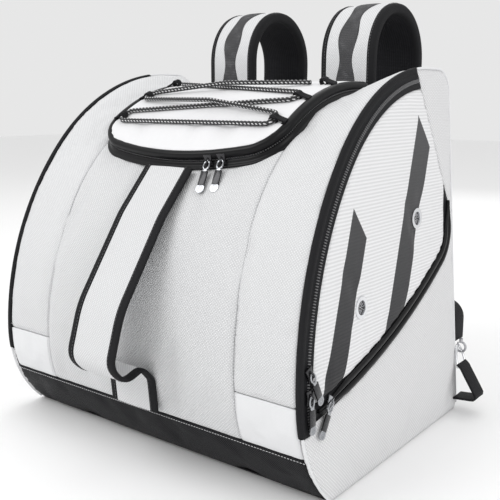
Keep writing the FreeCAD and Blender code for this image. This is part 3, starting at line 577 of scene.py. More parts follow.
def dress(piece, outward, weave, cloth, lining=None):
    """Gives the piece its weave map and finish, and returns which points lie on the sewn edge."""
    mesh = piece.data
    mesh.update()
    centres = np.array([f.center for f in mesh.polygons])
    normals = np.array([f.normal for f in mesh.polygons])
    facing = (normals * outward(centres)).sum(1)
    mesh.materials.append(cloth)
    mesh.materials.append(lining or lining_cloth)
    mesh.polygons.foreach_set("material_index", (facing < -0.5).astype(np.int32))
    mesh.polygons.foreach_set("use_smooth", np.ones(len(mesh.polygons), bool))
    edge = np.zeros(len(mesh.vertices), bool)
    for face, value in zip(mesh.polygons, facing):
        if abs(value) <= 0.5:
            edge[list(face.vertices)] = True
    layer = mesh.uv_layers.new(name="cloth")
    corner_points = np.empty(len(mesh.loops), np.int64)
    mesh.loops.foreach_get("vertex_index", corner_points)
    layer.data.foreach_set("uv", weave(coords_of(piece))[corner_points].astype(np.float32).ravel())
    return edge


print("dressing ready")

# %% [markdown]
# The simulation runs for twenty steps with no gravity, with pressure inside and slightly too much cloth, so
# that it puckers beside the seams. Afterwards the moved points are read, each move is capped, and the
# modifier is taken off again.

# %% Blow up a panel
CLOTH_STEPS = 20
CLAMP_REACH = 0.016
ON_FRONT = (planes_for_front, outward_front, weave_front)
ON_SIDE = (planes_for_side, outward_side, weave_side)


def puff(piece, pinned, pressure, cap, extra):
    rest = coords_of(piece)
    group = piece.vertex_groups.new(name="sewn")
    group.add([int(i) for i in np.nonzero(pinned)[0]], 1.0, "REPLACE")
    cloth = piece.modifiers.new("cloth", "CLOTH")
    cloth.settings.vertex_group_mass = "sewn"
    cloth.settings.quality = 5
    cloth.settings.mass = 0.25
    cloth.settings.tension_stiffness = 12
    cloth.settings.compression_stiffness = 12
    cloth.settings.shear_stiffness = 6
    cloth.settings.bending_stiffness = 2
    cloth.settings.use_pressure = True
    cloth.settings.uniform_pressure_force = pressure
    cloth.settings.shrink_min = -extra
    cloth.settings.effector_weights.gravity = 0
    cloth.point_cache.frame_start = 1
    cloth.point_cache.frame_end = CLOTH_STEPS
    for step in range(1, CLOTH_STEPS + 1):
        scene.frame_set(step)
    ready = piece.evaluated_get(bpy.context.evaluated_depsgraph_get())
    moved = np.empty(len(rest) * 3)
    ready.data.vertices.foreach_get("co", moved)
    move = moved.reshape(-1, 3) - rest
    size = np.linalg.norm(move, axis=1)
    move *= np.minimum(1.0, cap / np.maximum(size, 1e-9))[:, None]
    piece.modifiers.remove(cloth)
    piece.data.vertices.foreach_set("co", (rest + move).ravel())
    piece.data.update()
    scene.frame_set(1)
    print(piece.name, "wanted to move", round(float(size.max()), 4), "and may move", cap)


def soften(piece, levels=1):
    smooth = piece.modifiers.new("smooth", "SUBSURF")
    smooth.levels = levels
    smooth.render_levels = levels
    return piece


def padded_panel(node, name, lie, cloth, body, pressure, cap, extra=0.012, clamps=()):
    """Cuts, dresses and blows up a copy of a panel, and rounds it off. Clamps are (y, z) places held flat."""
    planes, outward, weave = lie
    piece = copied(node, name)
    cut_planes(piece, planes(piece))
    pinned = dress(piece, outward, weave, cloth)
    for clamp in clamps:
        pinned |= np.linalg.norm(coords_of(piece)[:, 1:] - clamp, axis=1) < CLAMP_REACH
    puff(piece, pinned, pressure, cap, extra)
    soften(piece)
    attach(piece, body)
    print(piece.name, "points", len(piece.data.vertices))


print("cloth steps", CLOTH_STEPS)

# %% [markdown]
# The front panel, the two side strips with their lower patches, the coated band, the yoke behind the lid and
# the back panel all follow the outline, so one loop makes them. The front panel and the back are large and
# swell most. The coated band is stiff and hardly moves.

# %% Panels along the outline
FRONT_PANELS = (
    ("centre_panel", diamond_cloth, "diamond_fabric", 4.0, 0.0045),
    ("front_strip_left", fine_dot_cloth, "twill_fabric", 3.0, 0.0035),
    ("front_strip_right", fine_dot_cloth, "twill_fabric", 3.0, 0.0035),
    ("lower_patches", patch_cloth, "smooth_patch", 3.0, 0.0025),
    ("rear_yoke", diamond_cloth, "diamond_fabric", 2.0, 0.0025),
    ("base_band", band_cloth, "coated_black", 1.5, 0.0015),
    ("back_panel", fine_dot_cloth, "twill_fabric", 4.0, 0.0050),
)
for node, cloth, slot, pressure, cap in FRONT_PANELS:
    padded_panel(node, node + "_cloth", ON_FRONT, cloth, "bag", pressure, cap)

# %% [markdown]
# The sides lean in a little. Below the slanted zip each side is one big pocket that bulges, and above it a
# door swings out on its rear edge. The door is held flat round its two vents, where metal clamps it.

# %% Side panels and doors
VENTS = ((0.059, 0.243), (-0.060, 0.172))
for side in ("left", "right"):
    wall, door = "side_panel_" + side, "boot_door_" + side
    padded_panel(wall, wall + "_cloth", ON_SIDE, side_cloth, "bag", 4.5, 0.0065)
    padded_panel(door, door + "_cloth", ON_SIDE, door_cloth, door, 3.0, 0.0020, clamps=VENTS)

# %% [markdown]
# The lid's top is a domed pad. It gets more spare cloth than the panels, but its movement is capped low,
# because the cord and its loops lie just above it.

# %% Lid pad
padded_panel("lid_panel", "lid_pad", ON_FRONT, lid_cloth, "lid", 4.0, 0.0017, 0.018)

# %% [markdown]
# ## Straps, handle and bindings
# Straps and bound edges are long pieces with the same shape all along. One profile, drawn across, is set at
# every point of a path and joined up. Straps are modelled this way and not blown up, because they are thin
# and a simulation would lose their edges.

# %% Paths and sweeps


def rounded(points, bends, step=0.005):
    """A route of straight runs with rounded turns, as evenly spaced 2D points."""
    points = [np.array(p, float) for p in points]
    dense = [points[0]]
    for index, radius in enumerate(bends, start=1):
        here = points[index]
        back = points[index - 1] - here
        ahead = points[index + 1] - here
        back /= np.linalg.norm(back)
        ahead /= np.linalg.norm(ahead)
        half = math.acos(max(-1.0, min(1.0, float(back @ ahead)))) / 2
        reach = radius / math.tan(half)
        middle = here + (back + ahead) / np.linalg.norm(back + ahead) * (radius / math.sin(half))
        first = here + back * reach - middle
        last = here + ahead * reach - middle
        for k in range(13):
            blend = first * (12 - k) + last * k
            dense.append(middle + blend / np.linalg.norm(blend) * radius)
    dense.append(points[-1])
    return evenly(np.array(dense), step)


def evenly(dense, step):
    runs = runs_of(dense)
    count = max(int(round(runs[-1] / step)), 2)
    wanted = np.concatenate(([0.0, 0.0008], np.linspace(0, runs[-1], count + 1)[1:-1], [runs[-1] - 0.0008, runs[-1]]))
    return read_at(wanted, runs, dense)


def unit(rows):
    return rows / np.maximum(np.linalg.norm(rows, axis=1), 1e-12)[:, None]


def side_path(line, x=0.0):
    """A (y, z) line as places, sides along X and outs to the left of travel."""
    ways = unit(np.gradient(line, axis=0))
    places = np.column_stack((np.full(len(line), x), line))
    outs = np.column_stack((np.zeros(len(line)), -ways[:, 1], ways[:, 0]))
    return places, np.tile((1.0, 0.0, 0.0), (len(line), 1)), outs


def sweep(name, path, profile, cloths, scale=None):
    """Joins a closed profile of (across, out, cloth number) along a path of places, sides and outs."""
    places, sides, outs = path
    shape = np.array([p[:2] for p in profile])
    loop = np.vstack((shape, shape[:1]))
    girth = runs_of(loop)
    runs = runs_of(places)
    rows, count = len(places), len(shape)
    wide = np.ones(rows) if scale is None else scale
    across = shape[None, :, 0] * wide[:, None]
    points = places[:, None] + across[:, :, None] * sides[:, None] + shape[None, :, 1, None] * outs[:, None]
    faces, numbers, uvs = [], [], []
    for r in range(rows - 1):
        for k in range(count):
            n = (k + 1) % count
            faces.append((r * count + k, r * count + n, (r + 1) * count + n, (r + 1) * count + k))
            numbers.append(profile[k][2])
            uvs += [(girth[k], runs[r]), (girth[k + 1], runs[r]), (girth[k + 1], runs[r + 1]), (girth[k], runs[r + 1])]
    for row in (0, rows - 1):
        faces.append(tuple(row * count + k for k in range(count)))
        numbers.append(profile[0][2])
        uvs += [(s, runs[row] + h) for s, h in shape]
    mesh = bpy.data.meshes.new(name)
    mesh.from_pydata(points.reshape(-1, 3).tolist(), [], faces)
    layer = mesh.uv_layers.new(name="cloth")
    layer.data.foreach_set("uv", np.array(uvs, np.float32).ravel())
    for cloth in cloths:
        mesh.materials.append(cloth)
    mesh.polygons.foreach_set("material_index", np.array(numbers, np.int32))
    mesh.polygons.foreach_set("use_smooth", np.ones(len(faces), bool))
    shell = bmesh.new()
    shell.from_mesh(mesh)
    bmesh.ops.recalc_face_normals(shell, faces=shell.faces)
    shell.to_mesh(mesh)
    shell.free()
    piece = bpy.data.objects.new(name, mesh)
    scene.collection.objects.link(piece)
    return piece


def settle(piece, body, nodes=()):
    """Attaches a finished piece to the body it rides, hides the nodes it stands for and prints its face count."""
    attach(piece, body)
    if nodes:
        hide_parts(*nodes)
    print(piece.name, "on", body, "faces", len(piece.data.polygons))
    return piece


def one_cloth(profile):
    return [(s, h, 0) for s, h in profile]


def round_profile(radius, count):
    return [(radius * math.cos(math.tau * k / count), radius * math.sin(math.tau * k / count), 0) for k in range(count)]


def soft_sweep(name, path, profile, cloths, body, nodes=(), scale=None):
    """A sweep that is rounded off and settled on its body."""
    return settle(soften(sweep(name, path, profile, cloths, scale)), body, nodes)


print("sweep ready")

# %% [markdown]
# A bound strap has a soft, slightly crowned face and a tape folded over each edge. The tape stands a little
# proud of the face, with a small step where it ends. The same profile serves the handle and the straps.

# %% Profile of a bound strap


def bound_profile(half, thick, binding, crown, inner):
    """Face, two bindings and inner face. Cloth numbers: 0 face, 1 binding, 2 inner face."""
    edge = half - binding
    lip = thick / 2
    face = [(-edge + edge * 2 * k / 10, lip + crown * math.sin(math.pi * k / 10), 0) for k in range(11)]
    face[-1] = (face[-1][0], face[-1][1], 1)
    right = [(edge + 0.0006, lip + 0.0008, 1), (half - 0.0012, lip + 0.0004, 1), (half, lip * 0.45, 1)]
    right += [(half, -lip * 0.45, 1), (half - 0.0012, -lip - 0.0004, 1), (edge + 0.0006, -lip - 0.0008, 1)]
    under = [(edge - edge * 2 * k / 8, -lip - inner * math.sin(math.pi * k / 8), 2) for k in range(9)]
    under[-1] = (under[-1][0], under[-1][1], 1)
    left = [(-s, h, 1) for s, h, _ in reversed(right)]
    return face + right + under + left


print("profile points", len(bound_profile(0.033, 0.004, 0.009, 0.001, 0.0)))

# %% [markdown]
# The carry handle is a broad bound band that starts under the lid, stands well off the front and curls back
# to the coated band in a soft S.

# %% Carry handle
HANDLE_ROUTE = (
    (-0.106, 0.297), (-0.147, 0.252), (-0.205, 0.168), (-0.221, 0.118),
    (-0.203, 0.099), (-0.180, 0.107), (-0.1665, 0.092), (-0.163, 0.056),
)
HANDLE_BENDS = (0.080, 0.090, 0.018, 0.014, 0.009, 0.009)
handle_line = rounded(HANDLE_ROUTE, HANDLE_BENDS, 0.004)[::-1]
handle_path = side_path(handle_line)
handle_profile = bound_profile(0.033, 0.0036, 0.0085, 0.0006, 0.0002)
handle_cloths = (fine_dot_cloth, binding_cloth, fine_dot_cloth)
soft_sweep("handle_band", handle_path, handle_profile, handle_cloths, "bag", ["carry_handle"])

# %% [markdown]
# Each shoulder strap is an arch of thick foam: pale cloth outside, airy black mesh inside, black bindings and
# a dark ribbed stripe with a wavy edge along the middle of the outside.

# %% Shoulder straps
STRAP_ROUTE = ((0.106, 0.3706), (0.106, 0.470), (0.222, 0.470), (0.222, 0.392), (0.180, 0.205))
STRAP_BENDS = (0.057, 0.057, 0.090)
STRAP_X = 0.085
STRIPE_HALF = 0.011
STRIPE_WAVE = 0.052
strap_line = rounded(STRAP_ROUTE, STRAP_BENDS)
strap_profile = bound_profile(0.035, 0.0108, 0.0075, 0.0012, 0.0008)
strap_cloths = (fine_dot_cloth, binding_cloth, mesh_cloth)
stripe_profile = one_cloth(((-1.0, 0.0), (-0.96, 0.0009), (0.0, 0.0012), (0.96, 0.0009), (1.0, 0.0), (0.0, -0.0006)))
for side, sign in (("left", -1), ("right", 1)):
    body = "strap_" + side
    path = side_path(strap_line, sign * STRAP_X)
    node = "shoulder_strap_" + side
    soft_sweep(f"strap_{side}_pad", path, strap_profile, strap_cloths, body, [node])
    places, sides, outs = path
    run = runs_of(places)
    wave = STRIPE_HALF * (1 + 0.22 * np.sin(run * math.tau / STRIPE_WAVE))
    raised = (places + outs * 0.0062, sides, outs)
    soft_sweep(f"strap_{side}_stripe", raised, stripe_profile, (stripe_cloth,), body, scale=wave)

# %% [markdown]
# From the buckle at a strap's end a flat webbing runs to the snap hook. It leaves the buckle flat against
# the back, turns on edge and bends down to the hook. Its weave is ribbed across.

# %% Adjusting webbing
WEB_ROUTE = ((0.085, 0.199), (0.086, 0.158), (0.207, 0.122), (0.207, 0.083))
WEB_BENDS = (0.012, 0.020)
WEB_Y = 0.172
web_profile = [(-1, -0.0010, 0), (-1, 0.0010, 0), (-0.9, 0.0013, 0), (0, 0.0010, 0), (0.9, 0.0013, 0)]
web_profile += [(1, 0.0010, 0), (1, -0.0010, 0), (0.9, -0.0013, 0), (0, -0.0010, 0), (-0.9, -0.0013, 0)]
WEB_HALF = 0.0122
web_profile = [(s * WEB_HALF, h, n) for s, h, n in web_profile]
for side, sign in (("left", -1), ("right", 1)):
    line = rounded(WEB_ROUTE, WEB_BENDS, 0.003)
    places = np.column_stack((line[:, 0] * sign, np.full(len(line), WEB_Y), line[:, 1]))
    run = runs_of(places)
    turn = np.clip(run / 0.030, 0, 1) * math.pi / 2
    sides = np.column_stack((np.cos(turn), np.sin(turn), np.zeros(len(line))))
    ways = unit(np.gradient(places, axis=0))
    outs = unit(np.cross(ways, sides))
    sides = unit(np.cross(outs, ways))
    webbing = sweep(f"webbing_{side}", (places, sides, outs), web_profile, (webbing_cloth,))
    settle(webbing, "strap_" + side, ["adjusting_webbing_" + side])

# %% [markdown]
# ## The lid's rolled edge
# The lid is closed by a zip all round its front and sides. Above and below the zip runs a rolled tape of
# coated cloth, which gives the lid its thick black rim. Both rolls follow the lid's outline, which is drawn
# square to the lid and then set down on the curved top of the bag.

# %% The lid's outline
LID_HALF = 0.124
LID_REAR_Y = 0.086
LID_FRONT_Z = 0.298
LID_BOW = 0.420
LID_CORNER = 0.042
LID_RISE = 0.014
_, crown_radius, crown_centre = crown_of(MIDDLE)
lid_front_y = crown_centre[0] - math.sqrt(crown_radius**2 - (LID_FRONT_Z - crown_centre[1]) ** 2)
lid_tilt = math.atan2(MIDDLE[0] - LID_FRONT_Z, LID_REAR_Y - lid_front_y)
lid_length = math.hypot(MIDDLE[0] - LID_FRONT_Z, LID_REAR_Y - lid_front_y)
LID_UP = np.array((0, -math.sin(lid_tilt), math.cos(lid_tilt)))
LID_BACK = np.array((0, math.cos(lid_tilt), math.sin(lid_tilt)))


def lid_point(x, along, height):
    """A point over the lid: along runs back from its front edge, height is over the bag's level middle."""
    foot = np.array((lid_front_y, LID_FRONT_Z)) + LID_BACK[1:] * along
    off = foot - crown_centre
    half_b = float(off @ LID_UP[1:])
    reach = -half_b + math.sqrt(half_b**2 - float(off @ off) + (crown_radius + height) ** 2)
    y, z = foot + LID_UP[1:] * reach
    if y > crown_centre[0]:
        z = MIDDLE[0] + height
        y = foot[0] - (z - foot[1]) * math.tan(lid_tilt)
    return np.array((x, y, z))


def lid_edge(step=0.004):
    """The lid's outline from rear left round the front to rear right: places, sides, outs."""
    corner_x = LID_HALF - LID_CORNER
    corner_y = LID_BOW - math.sqrt((LID_BOW - LID_CORNER) ** 2 - corner_x**2)
    turn = math.atan2(corner_x, LID_BOW - corner_y)
    flat = []
    for k in range(int(LID_BOW * turn / step) + 1):
        a = turn * k / int(LID_BOW * turn / step)
        flat.append((LID_BOW * math.sin(a), LID_BOW - LID_BOW * math.cos(a), math.sin(a), -math.cos(a)))
    for k in range(1, 17):
        a = turn + (math.pi / 2 - turn) * k / 16
        across, back = math.sin(a), -math.cos(a)
        flat.append((corner_x + LID_CORNER * across, corner_y + LID_CORNER * back, across, back))
    count = int((lid_length - corner_y) / step)
    flat += [(LID_HALF, corner_y + (lid_length - corner_y) * k / count, 1.0, 0.0) for k in range(1, count + 1)]
    flat = [(-x, y, -nx, ny) for x, y, nx, ny in flat[:0:-1]] + flat
    places = np.array([lid_point(x, y, 0.0) for x, y, _, _ in flat])
    sides = np.array([(nx, 0, 0) + ny * LID_BACK for _, _, nx, ny in flat])
    return places, sides, np.tile(LID_UP, (len(flat), 1))


lid_path = lid_edge()
print("lid edge points", len(lid_path[0]), "tilt", round(math.degrees(lid_tilt), 1))

# %% [markdown]
# The two rolls differ only in their profile, drawn square to the lid's edge as a distance outwards and a
# height. The lower one is a small roll on the bag and the upper one a tall wall under the lid. Sweeping both
# along one path keeps the gap for the teeth even all the way round.

# %% Rolled tapes
LOWER_ROLL = (
    (-0.0030, -0.0010), (-0.0030, 0.0055), (-0.0004, 0.0058), (0.0008, 0.0048), (0.0018, 0.0032),
    (0.0024, 0.0016), (0.0050, 0.0010), (0.0062, -0.0004), (0.0050, -0.0026),
)
UPPER_ROLL = (
    (-0.0078, 0.0136), (-0.0078, 0.0150), (-0.0050, 0.0162), (-0.0018, 0.0163), (0.0008, 0.0150),
    (0.0017, 0.0128), (0.0018, 0.0104), (0.0010, 0.0082), (-0.0002, 0.0066), (-0.0030, 0.0066), (-0.0034, 0.0130),
)
for half, profile, body in (("lower", LOWER_ROLL, "bag"), ("upper", UPPER_ROLL, "lid")):
    node = "lid_zip_" + half
    soft_sweep(f"lid_{half}_roll", lid_path, one_cloth(profile), (rolled_cloth,), body, [node])

# %% [markdown]
# ## Tapes and webbing cut from flat stock
# The zip tapes, the lid's loops, the dividers and the base keep the shape of their solids. Each gets its weave map,
# a small bevel on its edges, because no real edge is perfectly sharp, and a ribbed, crossed or coated finish.

# %% Bevelled copies


def bevelled(piece, width, segments=2):
    bevel = piece.modifiers.new("edges", "BEVEL")
    bevel.width = width
    bevel.segments = segments
    bevel.limit_method = "ANGLE"
    bevel.angle_limit = math.radians(35)
    bevel.use_clamp_overlap = True
    return piece


def flat_stock(node, name, cloth, weave, body, width=0.0004):
    piece = copied(node, name)
    dress(piece, outward_side if weave is weave_side else outward_front, weave, cloth, cloth)
    pick(piece)
    bpy.ops.object.shade_smooth_by_angle(angle=math.radians(35))
    bevelled(piece, width)
    return settle(piece, body)


for side in ("left", "right"):
    flat_stock("arc_zip_frame_" + side, f"arc_tape_{side}", tape_cloth, weave_side, "bag")
    flat_stock("diagonal_zip_frame_" + side, f"pocket_tape_{side}", rolled_cloth, weave_side, "bag")
    flat_stock("door_zip_" + side, f"door_tape_{side}", tape_cloth, weave_side, "boot_door_" + side)
flat_stock("lacing_loops", "loop_webbing", webbing_cloth, weave_front, "lid", 0.0003)
flat_stock("boot_dividers", "divider_cloth", lining_cloth, weave_side, "bag")
flat_stock("base_panel", "base_cloth", band_cloth, weave_front, "bag", 0.0015)

# %% [markdown]
# ## Bungee cord
# One elastic cord is laced across the lid through six webbing loops. It is a smooth spline through the air
# between the loops, held tight, with a low hump where it crosses itself. Each route point is a distance
# across, a distance back along the lid and a rise, in millimetres. Its cover is braided, black with white
# flecks, so it needs a UV map that runs along it.

# %% Cord finish
bungee_made = Recipe("bungee_braid", (0.010, 0.010, 0.011), 0.55, sheen=0.05)
around, along_cord = bungee_made.uv()
CORD_GIRTH = math.pi * 0.005
fleck = bungee_made.wave(bungee_made.math("MULTIPLY_ADD", around, 0.9, along_cord), CORD_GIRTH * 0.3)
other = bungee_made.wave(around, CORD_GIRTH / 4, 0.8)
spots = bungee_made.math("GREATER_THAN", bungee_made.math("MULTIPLY", fleck, other), 0.52)
braid = bungee_made.wave(bungee_made.math("SUBTRACT", along_cord, around), 0.0016)
bungee_made.paint(bungee_made.mix(spots, bungee_made.colour, (0.72, 0.72, 0.73, 1)))
bungee_made.bump(bungee_made.math("MULTIPLY_ADD", spots, 0.5, braid), 0.0003)
print("cord girth", round(CORD_GIRTH, 4))

# %% [markdown]
# A NURBS spline of order 3 passes near its points and not through them, so a few points at each turn give a
# smooth bend. The order and the end setting are given after the points, because before them they have no
# effect. The tube then follows the spline as Blender works it out, without points that lie on each other.

# %% Cord on the lid
LOOP_PLACES = (0.046, 0.092, 0.142)
CORD_HEIGHT = LID_RISE + 0.0046
CORD_ROUTE = (
    (-92, 138, 0),
    (88.3, 104.3, 0), (106, 101, 0), (106, 83, 0), (88.2, 80.6, 0),
    (-88.2, 57.4, 0), (-106, 55, 0), (-106, 37, 0), (-88, 37, 0),
    (88, 37, 0), (106, 37, 0), (106, 55, 0), (88.2, 57.5, 1.1),
    (20.9, 67, 5.2), (7, 69, 6), (-7, 69, 6), (-20.9, 71, 5.2),
    (-88.2, 80.5, 1.1), (-106, 83, 0), (-106, 101, 0), (-88.2, 103.9, 1.1),
    (-20.8, 114.8, 5.2), (-7, 117, 6), (7, 117, 6), (20.6, 120.4, 5.0),
    (92, 138, 0),
)
cord_points = [lid_point(x * MM, along * MM, CORD_HEIGHT + rise * MM) for x, along, rise in CORD_ROUTE]
spline_data = bpy.data.curves.new("cord_line", "CURVE")
spline_data.dimensions = "3D"
spline = spline_data.splines.new("NURBS")
spline.points.add(len(cord_points) - 1)
for point, place in zip(spline.points, cord_points):
    point.co = (*place, 1)
spline.order_u = 3
spline.use_endpoint_u = True
spline.resolution_u = 20
line_object = bpy.data.objects.new("cord_line", spline_data)
scene.collection.objects.link(line_object)
line_mesh = bpy.data.meshes.new_from_object(line_object.evaluated_get(bpy.context.evaluated_depsgraph_get()))
cord_line = np.array([v.co for v in line_mesh.vertices])
cord_line = cord_line[np.append(True, np.linalg.norm(np.diff(cord_line, axis=0), axis=1) > 0.0002)]
bpy.data.objects.remove(line_object)
cord_ways = unit(np.gradient(cord_line, axis=0))
cord_sides = unit(np.cross(cord_ways, np.tile(LID_UP, (len(cord_line), 1))))
cord_outs = np.cross(cord_sides, cord_ways)
CORD_RADIUS = 0.0025
cord_path = (cord_line, cord_sides, cord_outs)
bungee = sweep("bungee_lacing", cord_path, round_profile(CORD_RADIUS, 10), (bungee_made.material,))
settle(bungee, "lid", ["bungee_cord"])

# %% [markdown]
# ## Teeth and stitches
# A zip's teeth and a row of stitches are one tiny shape repeated hundreds of times. The shape is modelled
# once with a handful of faces, and its mesh is set down again and again along a line.

# %% A pattern set along a line


def pattern_mesh(size, bevel, segments=1):
    """A small rounded block, long along Y, with Z out of the cloth, as arrays of points and faces."""
    drop_all()
    bpy.ops.mesh.primitive_cube_add(size=1.0)
    block = bpy.context.object
    bpy.ops.object.mode_set(mode="EDIT")
    bpy.ops.mesh.select_all(action="SELECT")
    bpy.ops.transform.resize(value=size)
    bpy.ops.mesh.bevel(offset=bevel, segments=segments, affect="EDGES")
    bpy.ops.object.mode_set(mode="OBJECT")
    points = coords_of(block)
    faces = [tuple(f.vertices) for f in block.data.polygons]
    bpy.data.objects.remove(block)
    return points, faces


def spaced(places, outs, pitch, shift=0.0):
    """Evenly spaced places, ways and outs along a line of places."""
    runs = runs_of(places)
    wanted = np.arange(pitch / 2 + shift, runs[-1], pitch)
    spots = read_at(wanted, runs, places)
    ahead = read_at(wanted + 0.0005, runs, places)
    return spots, unit(ahead - spots + 1e-9), unit(read_at(wanted, runs, outs))


def stamp(name, pattern, rows, finish, body):
    """One piece of many copies of a pattern, set along rows of spots, ways and outs."""
    points, faces = pattern
    spots = np.concatenate([r[0] for r in rows])
    ways = np.concatenate([r[1] for r in rows])
    outs = np.concatenate([r[2] for r in rows])
    across = unit(np.cross(ways, outs))
    outs = np.cross(across, ways)
    placed = (
        spots[:, None] + points[None, :, 0, None] * across[:, None]
        + points[None, :, 1, None] * ways[:, None] + points[None, :, 2, None] * outs[:, None]
    )
    count = len(points)
    every = [tuple(v + n * count for v in f) for n in range(len(spots)) for f in faces]
    mesh = bpy.data.meshes.new(name)
    mesh.from_pydata(placed.reshape(-1, 3).tolist(), [], every)
    mesh.polygons.foreach_set("use_smooth", np.ones(len(every), bool))
    mesh.materials.append(finish)
    piece = bpy.data.objects.new(name, mesh)
    scene.collection.objects.link(piece)
    return settle(piece, body)


tooth = pattern_mesh((0.0020, 0.0010, 0.0013), 0.0003)
dash = pattern_mesh((0.0005, 0.0021, 0.0004), 0.00012)
print("tooth faces", len(tooth[1]))

# %% [markdown]
# The side zips have a row of teeth on each tape. Where the two rows meet they mesh, so the second row is
# shifted by half a pitch. One row rides the bag and the other rides the door, and they part when it opens.

# %% Teeth of the side zips and the lid
TAPE = 0.012
ARC_FOOT = 0.078
ZIP_END_Y = 0.070
FOLD_FOOT = np.array((0.137, 0.258))
FOLD_HEAD = np.array((0.062, 0.3965))
FOLD_MARGIN = 0.001
TOOTH_PITCH = 0.0026


def on_side(line, sign, lift):
    """(y, z) points set on a side plane: places and outs."""
    places = np.column_stack((sign * (BASE_HALF - SIDE_TAPER * line[:, 1]), line))
    outs = np.tile((sign * math.cos(SIDE_ANGLE), 0, math.sin(SIDE_ANGLE)), (len(line), 1))
    return places + outs * lift, outs


def past_fold(line):
    """How far (y, z) points lie ahead of a door's fold line. Behind it the number is below nought."""
    fold = FOLD_HEAD - FOLD_FOOT
    off = line - FOLD_FOOT
    return (fold[0] * off[:, 1] - fold[1] * off[:, 0]) / np.linalg.norm(fold)


def zipped_part(line, margin, foot):
    """The points of a side's outline that its zip reaches: ahead of the fold and above a foot."""
    return line[(past_fold(line) > margin) & (line[:, 1] > foot) & (line[:, 0] < ZIP_END_Y)]


for side, sign in (("left", -1), ("right", 1)):
    rows = (("tape", "bag", -0.0008, 0.0), ("door", "boot_door_" + side, 0.0012, TOOTH_PITCH / 2))
    for who, body, inset, shift in rows:
        dense = evenly(zipped_part(outline(SIDE, -TAPE - inset, 60), FOLD_MARGIN, ARC_FOOT), 0.002)
        places, outs = on_side(dense, sign, 0.0004)
        teeth = [spaced(places, outs, TOOTH_PITCH, shift)]
        stamp(f"arc_teeth_{who}_{side}", tooth, teeth, coil_plastic, body)
lid_places, lid_sides, lid_outs = lid_path
rim = lid_places + lid_outs * 0.0061 - lid_sides * 0.0010
stamp("lid_teeth", tooth, [spaced(rim, lid_sides, TOOTH_PITCH)], coil_plastic, "bag")

# %% [markdown]
# The slanted pocket zip on each side is hidden under two plump lips of coated cloth. Each lip is a puffed
# tape, and the line between them is where the zip runs. The lower lip rides the bag and the upper one the
# door. Both thin out towards the ends of the zip.

# %% Lips of the slanted zip
DIAGONAL = np.array(((-0.150, 0.093), (-0.020, 0.124), (0.079, 0.167)))
BEND_RADIUS = 0.040
RISE_Y = 0.137


def circle_through(points):
    rows = 2 * (points[1:] - points[:1])
    rests = (points[1:] ** 2).sum(1) - (points[0] ** 2).sum()
    centre = np.linalg.solve(rows, rests)
    return centre, float(np.linalg.norm(points[0] - centre))


slant_centre, slant_radius = circle_through(DIAGONAL)
bend_y = RISE_Y - BEND_RADIUS
bend_z = slant_centre[1] - math.sqrt((slant_radius - BEND_RADIUS) ** 2 - (bend_y - slant_centre[0]) ** 2)
bend_middle = np.array((bend_y, bend_z))


def slanted_zip(step=0.004):
    """The zip's line from its foot, along the long arc and the tight bend, and up to the fold."""
    foot = -0.140 - slant_centre[0]
    start = math.atan2(-math.sqrt(slant_radius**2 - foot**2), foot)
    tangent = bend_middle - slant_centre
    end = math.atan2(tangent[1], tangent[0])
    dense = [slant_centre + slant_radius * np.array((math.cos(a), math.sin(a))) for a in np.linspace(start, end, 40)]
    dense += [bend_middle + BEND_RADIUS * np.array((math.cos(a), math.sin(a))) for a in np.linspace(end, 0, 14)[1:]]
    dense.append(np.array((RISE_Y, FOLD_FOOT[1] - 0.004)))
    return evenly(np.array(dense), step)


LIP = one_cloth((
    (0.0004, -0.0004), (0.0006, 0.0010), (0.0022, 0.0026), (0.0048, 0.0030),
    (0.0074, 0.0020), (0.0084, 0.0), (0.0060, -0.0010),
))
zip_line = slanted_zip()
line_ways = unit(np.gradient(zip_line, axis=0))
runs = runs_of(zip_line)
fade = np.clip(np.minimum(runs / 0.05, (runs[-1] - runs) / 0.03), 0.25, 1.0)
for side, sign in (("left", -1), ("right", 1)):
    places, outs = on_side(zip_line, sign, 0.0002)
    ups = np.column_stack((np.zeros(len(zip_line)), -line_ways[:, 1], line_ways[:, 0]))
    for who, body, turn in (("upper", "boot_door_" + side, 1.0), ("lower", "bag", -1.0)):
        name = f"pocket_lip_{who}_{side}"
        soft_sweep(name, (places, ups * turn, outs), LIP, (rolled_cloth,), body, scale=fade)

# %% [markdown]
# Stitches show where cloths are joined: along the top of the coated band, along the top of the lower
# patches, beside the front panel's two long seams and along the inner edges of the bindings.

# %% Stitches
STITCH = 0.0034


def across_front(z, x_low, x_high, lift):
    out = along_line(np.array([[-0.3, z]]), middle_line)[2][0]
    index = int(np.argmin(np.abs(middle_line[:60, 1] - z)))
    spot = middle_line[index] + out * lift
    places = np.array([(x_low, *spot), (x_high, *spot)])
    return spaced(places, np.tile((0, *out), (2, 1)), STITCH)


def down_front(sign, step_out, lift):
    line = middle_line[(middle_line[:, 1] > BAND_TOP) & (middle_line[:, 0] < lid_front_y - 0.004)]
    places = np.column_stack((sign * (SEAM_FOOT + step_out - SEAM_TAPER * line[:, 1]), line))
    outs = out_of(line, middle_line)
    return spaced(places + outs * lift, outs, STITCH)


